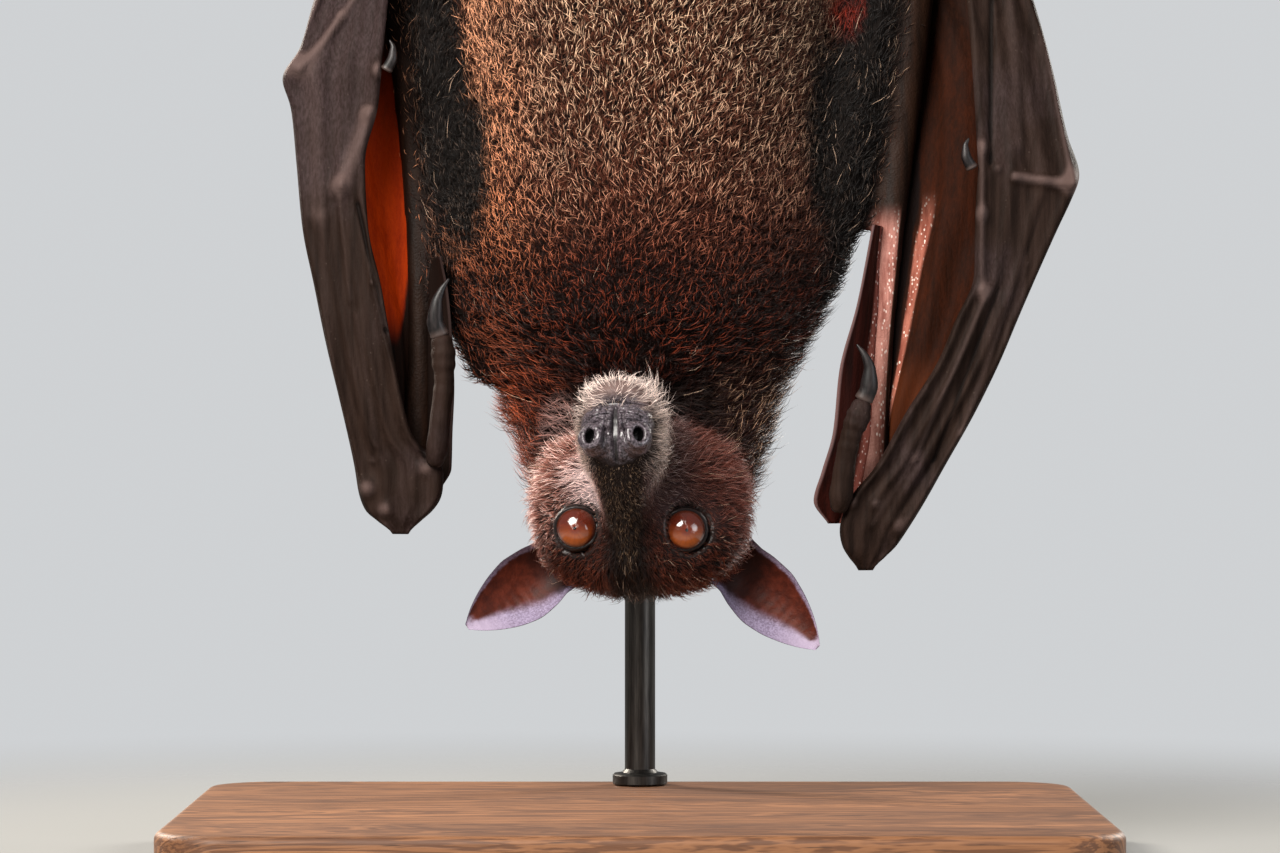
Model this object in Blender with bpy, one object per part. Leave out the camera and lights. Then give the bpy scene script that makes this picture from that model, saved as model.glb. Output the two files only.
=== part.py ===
"""A large fruit bat hanging head down from a cut branch, on a plain display stand. Metres, +Z up."""

import math

import bmesh
import bpy
import numpy as np

MM = 0.001
GAP = 0.32

BASE_SIZE = (284.0, 204.0, 18.0)
BASE_CORNER = 22.0
POST_RADIUS = 5.0
POST_Y = 85.0
ARM_RADIUS = 4.5
BRANCH_Y = 3.0
BRANCH_Z = 516.0
BRANCH_RADIUS = 16.0
BRANCH_HALF = 112.0
EYE_RADIUS = 7.3
EYE_GAP = 0.35
CROWN_Z = 82.0

# height, centre x, half width, front y, back y
TRUNK = [
    (150.4, 0.0, 46.0, -33.0, 42.0),
    (158.0, -0.4, 52.0, -36.0, 47.0),
    (167.0, -0.6, 57.0, -38.5, 50.0),
    (180.0, -1.4, 62.5, -40.0, 54.0),
    (196.0, -1.4, 65.0, -40.5, 56.0),
    (216.0, -0.4, 62.0, -39.0, 56.0),
    (237.0, 2.0, 58.0, -37.0, 55.0),
    (268.0, 2.4, 59.0, -36.0, 53.0),
    (297.0, 2.0, 54.0, -33.0, 50.0),
    (318.0, 1.5, 46.0, -27.0, 46.0),
    (334.0, 1.0, 35.0, -19.0, 41.0),
    (345.0, 0.5, 23.0, -10.0, 34.0),
    (351.0, 0.0, 11.0, -1.0, 25.0),
]
TRUNK_END = (0.0, 12.0, 353.0)

# The head's own frame: S to the side, F out along the muzzle, U towards the crown.
HEAD_AT = np.array([-2.8, -36.0, 104.6])
HEAD_F = np.array([-0.11, -0.914, 0.378])
HEAD_U = np.array([0.0, -0.382, -0.924])
# along F, side shift, half width, top, bottom, power
HEAD = [
    (-43.0, 3.0, 13.0, 3.0, 16.0, 2.0),
    (-38.0, 3.0, 23.0, 9.0, 27.0, 2.1),
    (-30.0, 3.0, 31.0, 13.0, 36.0, 2.3),
    (-21.0, 2.6, 35.2, 15.6, 41.0, 2.4),
    (-12.0, 1.6, 36.0, 17.8, 43.0, 2.4),
    (-5.0, 0.6, 33.0, 18.4, 43.0, 2.4),
    (0.0, 0.2, 27.5, 17.6, 42.5, 2.2),
    (4.5, 0.0, 18.5, 15.4, 42.0, 1.9),
    (8.5, 0.0, 12.4, 12.4, 41.3, 1.7),
    (12.0, 0.0, 10.9, 9.4, 40.5, 1.7),
    (17.0, 0.0, 11.2, 5.8, 39.0, 1.8),
    (24.0, 0.0, 12.3, 1.7, 37.0, 1.9),
    (32.0, 0.0, 12.2, -2.4, 35.0, 2.0),
    (39.0, 0.0, 12.0, -6.0, 30.0, 2.1),
    (43.5, 0.0, 10.0, -8.5, 24.0, 2.3),
]
HEAD_BACK = (-45.0, 3.0, -7.0)
HEAD_FRONT = (45.3, 0.0, -15.0)
NECK_CUT_AT = (0.0, -7.5, 117.0)
NECK_CUT_N = (0.0, 0.80, 0.60)
# turn of the ring in degrees, centre y, centre z, half width, front, back
NECK = [
    (53.1, -7.3, 117.3, 35.0, 33.0, 29.0),
    (40.0, -3.5, 127.0, 38.5, 32.0, 32.5),
    (26.0, 0.5, 136.0, 41.5, 32.5, 36.0),
    (12.0, 3.5, 143.5, 44.0, 34.5, 38.5),
    (0.0, 4.5, 150.0, 45.5, 37.0, 37.0),
]

# The eyes: centres of the balls.
EYES = {"left": (-18.8, -37.7, 105.4), "right": (13.3, -36.8, 104.8)}

# The ears: middle of the root, tip, how far the root's two edges lie from the middle.
EARS = {
    "left": ((-27.0, -17.0, 92.0), (-53.3, -18.0, 74.3), -1),
    "right": ((30.5, -15.0, 91.5), (54.8, -16.0, 67.7), 1),
}
# share of the length, half width towards the outer edge, half width towards the inner edge, hollow
EAR_SHAPE = [
    (0.0, 9.8, 8.5, 5.2),
    (0.15, 10.6, 9.8, 5.6),
    (0.32, 10.8, 10.4, 5.2),
    (0.5, 9.6, 9.4, 4.2),
    (0.68, 7.4, 7.2, 2.9),
    (0.84, 4.6, 4.4, 1.4),
    (0.95, 2.0, 1.9, 0.4),
]

# The folded wing of each side. Heights are above the crown.
# height, inner x, outer x, middle y, thickness of the digits, thickness of the skin
HAND = {
    "right": [
        (11.6, 66.0, 72.5, -14.0, 6.0, 5.0),
        (15.0, 62.8, 77.0, -14.5, 9.5, 8.0),
        (22.0, 61.0, 82.0, -15.5, 10.0, 8.0),
        (31.0, 63.5, 87.5, -17.0, 8.6, 5.0),
        (41.0, 71.5, 93.0, -18.5, 7.0, 2.4),
        (58.0, 81.0, 102.5, -20.0, 6.2, 2.0),
        (74.0, 91.0, 110.3, -20.5, 5.8, 1.9),
        (87.0, 96.5, 115.8, -20.0, 5.6, 1.8),
        (100.0, 102.0, 121.5, -19.0, 5.6, 1.8),
        (115.0, 102.3, 128.3, -18.0, 5.8, 1.8),
        (125.0, 102.8, 133.0, -17.0, 6.8, 1.9),
        (131.0, 103.4, 135.0, -16.4, 7.4, 2.0),
    ],
    "left": [
        (22.7, -70.0, -77.0, -14.0, 6.0, 5.0),
        (26.0, -65.5, -83.0, -14.5, 9.5, 8.0),
        (33.0, -60.5, -86.3, -15.5, 10.0, 8.0),
        (41.0, -60.0, -87.5, -17.0, 8.6, 5.0),
        (50.0, -69.0, -89.3, -18.5, 7.0, 2.4),
        (62.0, -72.5, -92.0, -20.0, 6.2, 2.0),
        (80.0, -76.0, -96.3, -20.5, 5.8, 1.9),
        (97.0, -79.0, -99.8, -20.0, 5.6, 1.8),
        (115.0, -83.0, -103.5, -19.0, 5.6, 1.8),
        (135.0, -84.0, -105.4, -18.0, 5.8, 1.8),
        (152.0, -80.0, -107.2, -17.0, 6.8, 1.9),
        (161.0, -79.2, -110.0, -16.4, 7.4, 2.0),
    ],
}
FINGERS = {
    "right": [
        (131.5, 103.4, 135.0, -16.3, 7.0, 2.0),
        (143.0, 103.0, 131.5, -14.5, 5.8, 1.8),
        (163.0, 102.0, 127.3, -11.5, 5.2, 1.6),
        (186.0, 100.5, 121.5, -7.0, 5.0, 1.6),
        (225.0, 88.0, 106.0, 0.0, 4.6, 1.5),
        (262.0, 71.0, 86.0, 8.5, 4.2, 1.4),
        (285.0, 60.0, 71.5, 14.0, 3.6, 1.3),
        (300.0, 54.5, 59.5, 17.5, 2.6, 1.2),
    ],
    "left": [
        (161.5, -79.2, -110.0, -16.3, 7.0, 2.0),
        (169.0, -78.6, -105.0, -14.8, 5.8, 1.8),
        (186.0, -77.2, -100.3, -10.5, 5.2, 1.6),
        (212.0, -75.0, -91.5, -4.0, 5.0, 1.6),
        (238.0, -68.5, -81.5, 2.5, 4.6, 1.5),
        (268.0, -59.0, -70.5, 10.0, 4.2, 1.4),
        (288.0, -52.0, -61.5, 14.5, 3.6, 1.3),
        (303.0, -48.5, -52.5, 18.0, 2.6, 1.2),
    ],
}
# Places across the hand where a finger bone runs, 0 at the inner edge.
DIGITS = (0.06, 0.36, 0.66, 0.95)
ACROSS = (0.0, 0.06, 0.21, 0.36, 0.51, 0.66, 0.81, 0.95, 1.0)

# x, y, height, radius from the wrist to the elbow
FOREARM = {
    "right": [
        (69.0, -3.6, 18.0, 4.2),
        (70.2, -3.2, 24.0, 6.0),
        (71.4, -3.4, 33.0, 5.4),
        (72.6, -3.0, 48.0, 4.4),
        (74.4, -1.6, 76.0, 4.0),
        (77.2, 2.0, 110.0, 4.6),
        (80.2, 7.0, 146.0, 6.4),
        (83.0, 13.5, 186.0, 9.0),
        (84.0, 18.6, 212.0, 10.5),
        (84.0, 20.0, 226.0, 9.0),
    ],
    "left": [
        (-73.0, -3.6, 29.0, 4.2),
        (-71.5, -3.2, 35.0, 6.0),
        (-69.6, -3.4, 44.0, 5.4),
        (-68.2, -3.0, 60.0, 4.4),
        (-68.0, -1.6, 88.0, 4.0),
        (-68.6, 2.0, 120.0, 4.6),
        (-70.5, 7.0, 156.0, 6.4),
        (-73.0, 13.5, 192.0, 9.0),
        (-75.0, 18.6, 216.0, 10.5),
        (-75.4, 20.0, 230.0, 9.0),
    ],
}
# x, y, height, radius from the shoulder to the elbow
UPPER_ARM = {
    "right": [
        (40.0, 4.0, 84.0, 14.0),
        (49.0, 2.0, 104.0, 16.0),
        (58.0, 4.0, 130.0, 15.5),
        (66.0, 8.0, 160.0, 14.0),
        (74.0, 13.0, 190.0, 12.0),
        (81.0, 18.0, 214.0, 11.0),
        (84.0, 20.0, 228.0, 9.0),
    ],
    "left": [
        (-40.0, 2.0, 72.0, 14.0),
        (-48.0, -1.0, 92.0, 16.0),
        (-53.5, 1.0, 122.0, 15.0),
        (-60.0, 7.0, 158.0, 14.0),
        (-67.0, 13.0, 194.0, 12.0),
        (-73.5, 18.0, 218.0, 11.0),
        (-75.4, 20.0, 232.0, 9.0),
    ],
}
# height, free edge x, free edge y, edge by the forearm x, edge by the forearm y
FRONT_SKIN = {
    "right": [
        (24.0, 58.0, -8.6, 62.0, -6.4),
        (31.0, 53.4, -12.0, 67.6, -6.2),
        (40.0, 55.8, -14.0, 69.6, -6.2),
        (52.0, 59.2, -15.0, 71.6, -5.6),
        (71.0, 61.2, -15.0, 72.4, -4.4),
        (91.0, 66.6, -13.0, 73.6, -3.0),
        (105.0, 69.6, -11.0, 74.0, -1.6),
        (116.0, 71.8, -9.0, 74.8, -1.0),
    ],
    "left": [
        (34.0, -62.0, -8.6, -64.4, -6.4),
        (41.0, -58.0, -12.0, -65.4, -6.2),
        (52.0, -57.6, -14.0, -65.6, -6.0),
        (66.0, -57.0, -15.0, -65.6, -5.2),
        (80.0, -57.6, -15.0, -65.6, -4.4),
        (96.0, -59.0, -16.0, -65.6, -3.2),
        (106.0, -61.0, -18.0, -64.2, -2.6),
    ],
}
# height, inner x, inner y, bulge x, bulge y, outer x, outer y
WING_SKIN = {
    "right": [
        (45.0, 74.8, -1.0, 77.4, -3.0, 80.4, -6.5),
        (56.0, 75.4, -1.0, 79.6, -4.0, 84.5, -8.0),
        (75.0, 76.5, 0.0, 87.0, -3.0, 98.0, -11.0),
        (100.0, 78.5, 2.5, 95.5, 2.0, 112.0, -11.0),
        (130.0, 81.5, 6.5, 104.0, 6.0, 126.0, -8.0),
        (160.0, 82.0, 15.5, 105.0, 16.0, 122.0, -4.0),
        (190.0, 72.0, 27.5, 101.0, 28.0, 115.0, 4.0),
        (222.0, 49.0, 37.5, 96.0, 41.0, 104.0, 10.0),
        (255.0, 31.0, 37.0, 76.0, 44.0, 86.0, 17.0),
        (288.0, 30.0, 25.0, 58.0, 34.0, 69.0, 20.5),
        (322.0, 40.0, 16.0, 50.0, 24.0, 57.5, 20.0),
        (360.0, 36.0, 18.0, 43.0, 23.0, 48.5, 22.0),
        (388.0, 33.0, 22.0, 37.4, 25.0, 41.0, 25.0),
    ],
    "left": [
        (60.0, -70.4, -1.0, -72.0, -3.0, -74.2, -6.5),
        (84.0, -70.0, -1.0, -73.0, -3.0, -77.5, -7.0),
        (100.0, -69.5, 1.5, -77.0, -1.0, -86.0, -10.0),
        (125.0, -70.0, 4.5, -82.0, 4.0, -96.0, -9.0),
        (155.0, -72.0, 9.5, -86.0, 10.0, -103.0, -7.0),
        (180.0, -72.5, 19.5, -87.0, 20.0, -98.0, -3.0),
        (205.0, -64.0, 29.5, -84.0, 32.0, -91.0, 4.0),
        (230.0, -47.0, 37.5, -78.0, 42.0, -85.0, 10.0),
        (258.0, -31.0, 37.0, -65.0, 45.0, -73.0, 17.0),
        (290.0, -30.0, 25.0, -52.0, 35.0, -61.0, 20.5),
        (322.0, -40.0, 16.0, -48.0, 24.0, -54.5, 20.0),
        (360.0, -36.0, 18.0, -42.5, 23.0, -47.5, 22.0),
        (388.0, -33.0, 22.0, -37.4, 25.0, -41.0, 25.0),
    ],
}
# x, y, height, radius
THUMB = {
    "right": [
        (60.6, -23.6, 29.0, 2.6),
        (61.2, -25.0, 33.0, 3.6),
        (62.6, -26.2, 44.0, 3.2),
        (64.4, -27.0, 52.0, 3.3),
        (66.4, -27.2, 57.0, 3.9),
        (67.6, -27.0, 61.0, 2.8),
    ],
    "left": [
        (-62.6, -23.6, 43.0, 2.6),
        (-61.8, -25.0, 47.0, 3.4),
        (-60.6, -26.2, 58.0, 3.1),
        (-59.6, -27.0, 68.0, 3.1),
        (-59.8, -27.2, 76.0, 3.9),
        (-60.4, -27.0, 80.5, 3.1),
    ],
}
THUMB_CLAW = {
    "right": [
        (68.1, -27.0, 62.2, 2.7),
        (69.6, -27.6, 66.0, 2.7),
        (69.8, -28.4, 71.0, 1.9),
        (68.2, -28.8, 75.6, 1.1),
        (66.0, -28.6, 78.6, 0.35),
    ],
    "left": [
        (-60.9, -27.1, 81.7, 2.8),
        (-62.2, -27.8, 86.0, 2.6),
        (-61.8, -28.6, 91.0, 1.9),
        (-60.2, -28.8, 95.4, 1.1),
        (-58.2, -28.4, 98.6, 0.35),
    ],
}
FINGER_CLAW = {
    "right": [
        (101.4, -20.4, 133.0, 1.8),
        (99.6, -20.8, 136.6, 1.5),
        (99.4, -20.8, 139.6, 0.9),
        (100.4, -20.6, 141.8, 0.3),
    ],
    "left": [
        (-77.4, -20.4, 163.0, 1.8),
        (-75.6, -20.8, 166.6, 1.5),
        (-75.4, -20.8, 169.6, 0.9),
        (-76.4, -20.6, 171.8, 0.3),
    ],
}
# x away from the middle, y, z, radius
LEG = [
    (14.0, 12.0, 318.0, 15.0),
    (22.0, 13.0, 335.0, 16.5),
    (31.0, 12.0, 360.0, 14.0),
    (38.0, 10.0, 382.0, 11.0),
    (40.5, 9.8, 394.0, 9.4),
    (39.5, 12.0, 412.0, 7.6),
    (35.5, 17.0, 440.0, 5.8),
    (31.5, 22.5, 466.0, 4.8),
    (30.6, 24.5, 476.0, 5.0),
]
KNEE_Z = 394.0
FOOT = [
    (30.5, 24.9, 478.2, 4.8, 4.8),
    (30.2, 25.2, 483.0, 5.4, 4.6),
    (30.0, 25.0, 492.0, 8.0, 3.8),
    (30.0, 24.4, 501.0, 11.0, 3.4),
    (30.0, 24.0, 507.0, 12.0, 3.0),
]
TOE_SPREAD = (-10.6, -5.4, 0.0, 5.4, 10.6)
TOE_FROM, TOE_TO, CLAW_TO = -34.0, 62.0, 128.0
TOE_RADIUS = 2.35

COLOURS = {
    "fur": ((0.055, 0.022, 0.012), 0.85),
    "skin": ((0.045, 0.028, 0.025), 0.6),
    "claw": ((0.02, 0.018, 0.018), 0.3),
    "eye": ((0.25, 0.09, 0.03), 0.08),
    "bark": ((0.12, 0.075, 0.045), 0.85),
    "wood": ((0.28, 0.17, 0.09), 0.5),
    "metal": ((0.05, 0.05, 0.055), 0.4),
}


def material(name):
    """One plain surface for a node."""
    made = bpy.data.materials.new(name)
    made.use_nodes = True
    colour, rough = COLOURS[name.split(".")[0]]
    node = made.node_tree.nodes["Principled BSDF"]
    node.inputs["Base Color"].default_value = (*colour, 1)
    node.inputs["Roughness"].default_value = rough
    return made


def between(keys, places):
    """The rows of keys, whose first column is the place, at other places by a smooth curve that never overshoots."""
    keys = np.asarray(keys, float)
    x, y = keys[:, 0], keys[:, 1:]
    step, slope = np.diff(x), np.diff(y, axis=0) / np.diff(x)[:, None]
    m = np.zeros_like(y)
    m[0], m[-1] = slope[0], slope[-1]
    for i in range(1, len(x) - 1):
        a, b = 2 * step[i] + step[i - 1], step[i] + 2 * step[i - 1]
        same = slope[i - 1] * slope[i] > 0
        before = np.where(same, slope[i - 1], 1)
        after = np.where(same, slope[i], 1)
        m[i] = np.where(same, (a + b) / (a / before + b / after), 0)
    at = np.clip(np.atleast_1d(np.asarray(places, float)), x[0], x[-1])
    i = np.clip(np.searchsorted(x, at) - 1, 0, len(x) - 2)
    t = ((at - x[i]) / step[i])[:, None]
    h = step[i][:, None]
    return (
        (1 + 2 * t) * (1 - t) ** 2 * y[i]
        + t * (1 - t) ** 2 * h * m[i]
        + t * t * (3 - 2 * t) * y[i + 1]
        + t * t * (t - 1) * h * m[i + 1]
    )


def stations(keys, count):
    """The rows of keys at evenly spaced places from the first to the last, place included."""
    keys = np.asarray(keys, float)
    places = np.linspace(keys[0, 0], keys[-1, 0], count)
    return np.hstack([places[:, None], between(keys, places)])


def unit(v):
    v = np.asarray(v, float)
    return v / np.linalg.norm(v)


def oval(centre, side, up, half, top, bottom, power, count, turn=0.0):
    """One closed ring: a rounded oval with its own reach to either side, top and bottom."""
    a = turn + np.arange(count) * 2 * math.pi / count
    c, s = np.cos(a), np.sin(a)
    x = np.sign(c) * np.abs(c) ** (2 / power) * half
    y = np.sign(s) * np.abs(s) ** (2 / power)
    y = np.where(s > 0, y * top, y * bottom)
    return np.asarray(centre) + x[:, None] * np.asarray(side) + y[:, None] * np.asarray(up)


def node(name, points, faces, look):
    """A mesh object from points in millimetres, its faces turned outwards."""
    mesh = bpy.data.meshes.new(name)
    mesh.from_pydata([tuple(p) for p in np.asarray(points, float) * MM], [], faces)
    made = bpy.data.objects.new(name, mesh)
    bpy.context.scene.collection.objects.link(made)
    shape = bmesh.new()
    shape.from_mesh(mesh)
    bmesh.ops.triangulate(shape, faces=shape.faces)
    if shape.calc_volume(signed=True) < 0:
        bmesh.ops.reverse_faces(shape, faces=shape.faces)
    shape.to_mesh(mesh)
    shape.free()
    mesh.materials.append(material(f"{look}.{name}"))
    return made


def plate(name, rings, look):
    """A skin over flat rings, each a row of front points and the same back ones in reverse, with strip ends."""
    count, points, faces = len(rings[0]), np.concatenate(rings), []
    for r in range(len(rings) - 1):
        for i in range(count):
            j = (i + 1) % count
            faces.append((r * count + i, r * count + j, (r + 1) * count + j, (r + 1) * count + i))
    top = (len(rings) - 1) * count
    for i in range(count // 2 - 1):
        j = count - 1 - i
        faces.append((j, j - 1, i + 1, i))
        faces.append((top + i, top + i + 1, top + j - 1, top + j))
    return node(name, points, faces, look)


def loft(name, rings, look, first=None, last=None):
    """A skin over rings of equal count, each end closed by a fan to a point."""
    count, points = len(rings[0]), np.concatenate(rings)
    ends = [rings[0].mean(0) if first is None else first]
    ends += [rings[-1].mean(0) if last is None else last]
    faces = []
    for r in range(len(rings) - 1):
        for i in range(count):
            j = (i + 1) % count
            faces.append((r * count + i, r * count + j, (r + 1) * count + j, (r + 1) * count + i))
    a, b, top = len(points), len(points) + 1, (len(rings) - 1) * count
    for i in range(count):
        j = (i + 1) % count
        faces.append((a, j, i))
        faces.append((b, top + i, top + j))
    return node(name, np.vstack([points, ends]), faces, look)


def frames(path):
    """Directions along a path of points, and two across it that don't twist."""
    along = np.gradient(path, axis=0)
    along = along / np.linalg.norm(along, axis=1)[:, None]
    side = np.cross(along[0], (0, 1, 0))
    out = []
    for d in along:
        side = unit(side - d * side.dot(d))
        out.append((side, np.cross(d, side)))
    return along, out


def limb(name, rows, look, count=12, ends=(0.5, 0.5), flat=1.0, points=None, grow=0.0):
    """A round limb through rows of x, y, z, radius, with domed ends."""
    rows = np.asarray(rows, float) + np.array([0, 0, 0, grow])
    if points:
        reach = np.concatenate([[0], np.cumsum(np.linalg.norm(np.diff(rows[:, :3], axis=0), axis=1))])
        rows = stations(np.hstack([reach[:, None], rows]), points)[:, 1:]
    along, across = frames(rows[:, :3])
    rings = [
        oval(r[:3], s, u, r[3], r[3] * flat, r[3] * flat, 2, count)
        for r, (s, u) in zip(rows, across)
    ]
    first = rows[0, :3] - along[0] * rows[0, 3] * ends[0]
    last = rows[-1, :3] + along[-1] * rows[-1, 3] * ends[1]
    return loft(name, rings, look, first, last)


def above_crown(rows, place=2):
    """The same rows with the height column measured from the floor."""
    rows = np.asarray(rows, float).copy()
    rows[:, place] += CROWN_Z
    return rows


def cut(made, point, direction):
    """Takes off what lies past a plane, and closes the cut."""
    shape = bmesh.new()
    shape.from_mesh(made.data)
    everything = shape.verts[:] + shape.edges[:] + shape.faces[:]
    done = bmesh.ops.bisect_plane(
        shape,
        geom=everything,
        plane_co=np.asarray(point, float) * MM,
        plane_no=unit(direction),
        clear_outer=True,
    )
    edges = [e for e in done["geom_cut"] if isinstance(e, bmesh.types.BMEdge)]
    bmesh.ops.remove_doubles(shape, verts=shape.verts[:], dist=1e-6)
    edges = [e for e in shape.edges if e.is_boundary]
    bmesh.ops.holes_fill(shape, edges=edges, sides=0)
    bmesh.ops.triangulate(shape, faces=shape.faces[:])
    bmesh.ops.recalc_face_normals(shape, faces=shape.faces[:])
    if shape.calc_volume(signed=True) < 0:
        bmesh.ops.reverse_faces(shape, faces=shape.faces[:])
    shape.to_mesh(made.data)
    shape.free()


def helper_of(made):
    """Hides a mesh that only cuts another."""
    made.name += "_cutter"
    made.hide_render = True
    made.display_type = "WIRE"
    return made


def settle(made):
    """Keeps what the modifiers make as the node's own mesh."""
    graph = bpy.context.evaluated_depsgraph_get()
    result = bpy.data.meshes.new_from_object(made.evaluated_get(graph))
    made.modifiers.clear()
    made.data = result


def combine(made, others, operation):
    """A Boolean of the node with each helper."""
    for other in others:
        step = made.modifiers.new(other.name, "BOOLEAN")
        step.operation = operation
        step.solver = "EXACT"
        step.object = other
    bpy.context.view_layer.update()
    settle(made)
    for other in others:
        bpy.data.objects.remove(other)


def largest(made):
    """Drops loose crumbs that a cut left, keeping the largest piece."""
    shape = bmesh.new()
    shape.from_mesh(made.data)
    left, pieces = set(shape.verts), []
    while left:
        todo, piece = [left.pop()], set()
        while todo:
            v = todo.pop()
            piece.add(v)
            for e in v.link_edges:
                other = e.other_vert(v)
                if other in left:
                    left.remove(other)
                    todo.append(other)
        pieces.append(piece)
    pieces.sort(key=len)
    for piece in pieces[:-1]:
        bmesh.ops.delete(shape, geom=list(piece), context="VERTS")
    shape.to_mesh(made.data)
    shape.free()


def remove_all():
    for thing in list(bpy.data.objects):
        bpy.data.objects.remove(thing)


def make_trunk(grow=0.0):
    rows = stations(TRUNK, 12)
    rings = [
        oval(
            (r[1], 8, r[0]), (1, 0, 0), (0, 1, 0), r[2] + grow,
            r[4] - 8 + grow, 8 - r[3] + grow, 2.25, 22,
        )
        for r in rows
    ]
    first = rings[0].mean(0) - np.array([0, 0, grow])
    return loft("trunk", rings, "fur", first, np.array(TRUNK_END) + np.array([0, 0, grow]))


def make_neck(grow=0.0):
    rings = []
    for turn, y, z, half, front, back in NECK:
        a = math.radians(turn)
        up = (0, math.cos(a), -math.sin(a))
        sizes = (half + grow, back + grow, front + grow)
        rings.append(oval((0.9, y, z), (1, 0, 0), up, *sizes, 2.2, 22))
    return loft("neck", rings, "fur")


def head_point(f, s, u):
    return HEAD_AT + f * HEAD_F + s * SIDE + u * HEAD_U


HEAD_F = unit(HEAD_F)
HEAD_U = unit(HEAD_U - HEAD_F * HEAD_U.dot(HEAD_F))
SIDE = np.cross(HEAD_U, HEAD_F)
if SIDE[0] < 0:
    SIDE = -SIDE


def make_head(grow=0.0):
    keys = np.asarray(HEAD)
    places = (-43, -37, -29, -20, -11, -4, 2, 8, 14, 21, 29, 36, 41, 43.5)
    rings = []
    for f, row in zip(places, between(keys, places)):
        shift, half, top, bottom, power = row
        middle = (top - bottom) / 2 + (2 if f < 12 else 0)
        rings.append(
            oval(
                head_point(f, shift, middle), SIDE, HEAD_U, half + grow,
                top - middle + grow, middle + bottom + grow, power, 20,
            )
        )
    made = loft("head", rings, "fur", head_point(*HEAD_BACK), head_point(*HEAD_FRONT))
    cut(made, np.array(NECK_CUT_AT) - unit(NECK_CUT_N) * GAP, NECK_CUT_N)
    return made


def ball(name, centre, radius, look, rows=8, count=12):
    rings = []
    for i in range(1, rows):
        a = math.pi * i / rows
        ring = oval((0, 0, 0), (1, 0, 0), (0, 0, 1), math.sin(a), math.sin(a), math.sin(a), 2, count)
        rings.append(np.asarray(centre) + radius * (ring + np.array([0, -math.cos(a), 0])))
    ends = [np.asarray(centre) + radius * np.array([0, y, 0]) for y in (-1, 1)]
    return loft(name, rings, look, ends[0], ends[1])


def make_eyes(head):
    sockets = []
    for side, at in EYES.items():
        ball("eye_" + side, at, EYE_RADIUS, "eye")
        socket = ball("socket_" + side, at, EYE_RADIUS + EYE_GAP, "eye")
        socket.hide_render = True
        sockets.append(socket)
    combine(head, sockets, "DIFFERENCE")


def make_ear(side):
    root, tip, out = EARS[side]
    root, tip = np.array(root), np.array(tip)
    along = unit(tip - root)
    across = unit(np.cross((0, -1, 0), along)) * out
    depth = np.cross(along, across)
    depth = depth if depth[1] > 0 else -depth
    rings = []
    widths = np.linspace(-1, 1, 7)
    for share, outer, inner, hollow in stations(EAR_SHAPE, 8):
        middle = root + (tip - root) * share
        sheet = [
            middle
            + across * (v * (outer if v > 0 else inner))
            + depth * (hollow * (1 - v * v) - 1.5 * share)
            for v in widths
        ]
        thick = 1.5 - 0.6 * share
        back = [p + depth * (thick * (1.0 - 0.35 * abs(v) ** 3)) for p, v in zip(sheet, widths)]
        rings.append(np.array(sheet + back[::-1]))
    made = plate("ear_" + side, rings, "skin")
    combine(made, [helper_of(make_head(GAP + 0.1))], "DIFFERENCE")
    largest(made)
    return made


def unit_sign(value):
    return 1.0 if value > 0 else -1.0


def digit_bump(v):
    """From 0 between finger bones to 1 on one."""
    return max(math.exp(-(((v - d) / 0.075) ** 2)) for d in DIGITS)


def hand_plate(name, rows, count, grow=0.0):
    rings = []
    rows = stations(rows, count)
    for i, (h, inner, outer, y, thick, thin) in enumerate(rows):
        z = h + CROWN_Z + grow * ((i == count - 1) - (i == 0))
        lean = 5.5 if abs(outer - inner) > 12 else 1.5
        front, back = [], []
        for v in ACROSS:
            x = inner + (outer - inner) * v
            half = (thin + (thick - thin) * digit_bump(v)) / 2
            if v in (0.0, 1.0):
                half *= 0.45
            half += grow
            x += grow * unit_sign(outer - inner) * ((v == 1.0) - (v == 0.0))
            mid = y + lean * (v - 0.5)
            front.append((x, mid - half, z))
            back.append((x, mid + half, z))
        rings.append(np.array(front + back[::-1]))
    return plate(name, rings, "skin")


def sheet(name, lines, thick):
    """A thin sheet over lines of points, one line for each height, with its own thickness."""
    rings = []
    for line in lines:
        line = np.asarray(line, float)
        way = np.gradient(line[:, :2], axis=0)
        normal = np.stack([-way[:, 1], way[:, 0]], axis=1)
        normal = normal / np.linalg.norm(normal, axis=1)[:, None]
        move = np.hstack([normal * thick / 2, np.zeros((len(line), 1))])
        rings.append(np.vstack([line + move, (line - move)[::-1]]))
    return plate(name, rings, "skin")


def make_wing_skin(side):
    lines = []
    for h, ix, iy, bx, by, ox, oy in stations(WING_SKIN[side], 12):
        t = np.linspace(0, 1, 7)[:, None]
        p = (1 - t) ** 2 * [ix, iy] + 2 * t * (1 - t) * [bx, by] + t * t * [ox, oy]
        wide = math.hypot(ox - ix, oy - iy)
        fold = 0.045 * wide * np.sin(t[:, 0] * 4 * math.pi) * np.sin(math.pi * t[:, 0])
        way = unit([ox - ix, oy - iy])
        p = p + fold[:, None] * np.array([-way[1], way[0]])
        lines.append([(x, y, h + CROWN_Z) for x, y in p])
    return sheet("wing_membrane_" + side, lines, 0.9)


def make_front_skin(side):
    lines = []
    for h, fx, fy, ax, ay in stations(FRONT_SKIN[side], 9):
        t = np.linspace(0, 1, 4)
        lines.append([(fx + (ax - fx) * k, fy + (ay - fy) * k, h + CROWN_Z) for k in t])
    return sheet("wing_front_skin_" + side, lines, 0.9)


def arm_rods(side, grow=0.0):
    """The upper arm and the forearm as whole rods."""
    upper = above_crown(UPPER_ARM[side])
    fore = above_crown(FOREARM[side])
    return (
        limb("upper_arm_" + side, upper, "fur", 10, (0.6, 0.6), 1.0, 8, grow),
        limb("forearm_" + side, fore, "skin", 10, (0.6, 0.6), 1.0, 10, grow),
    )


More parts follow.
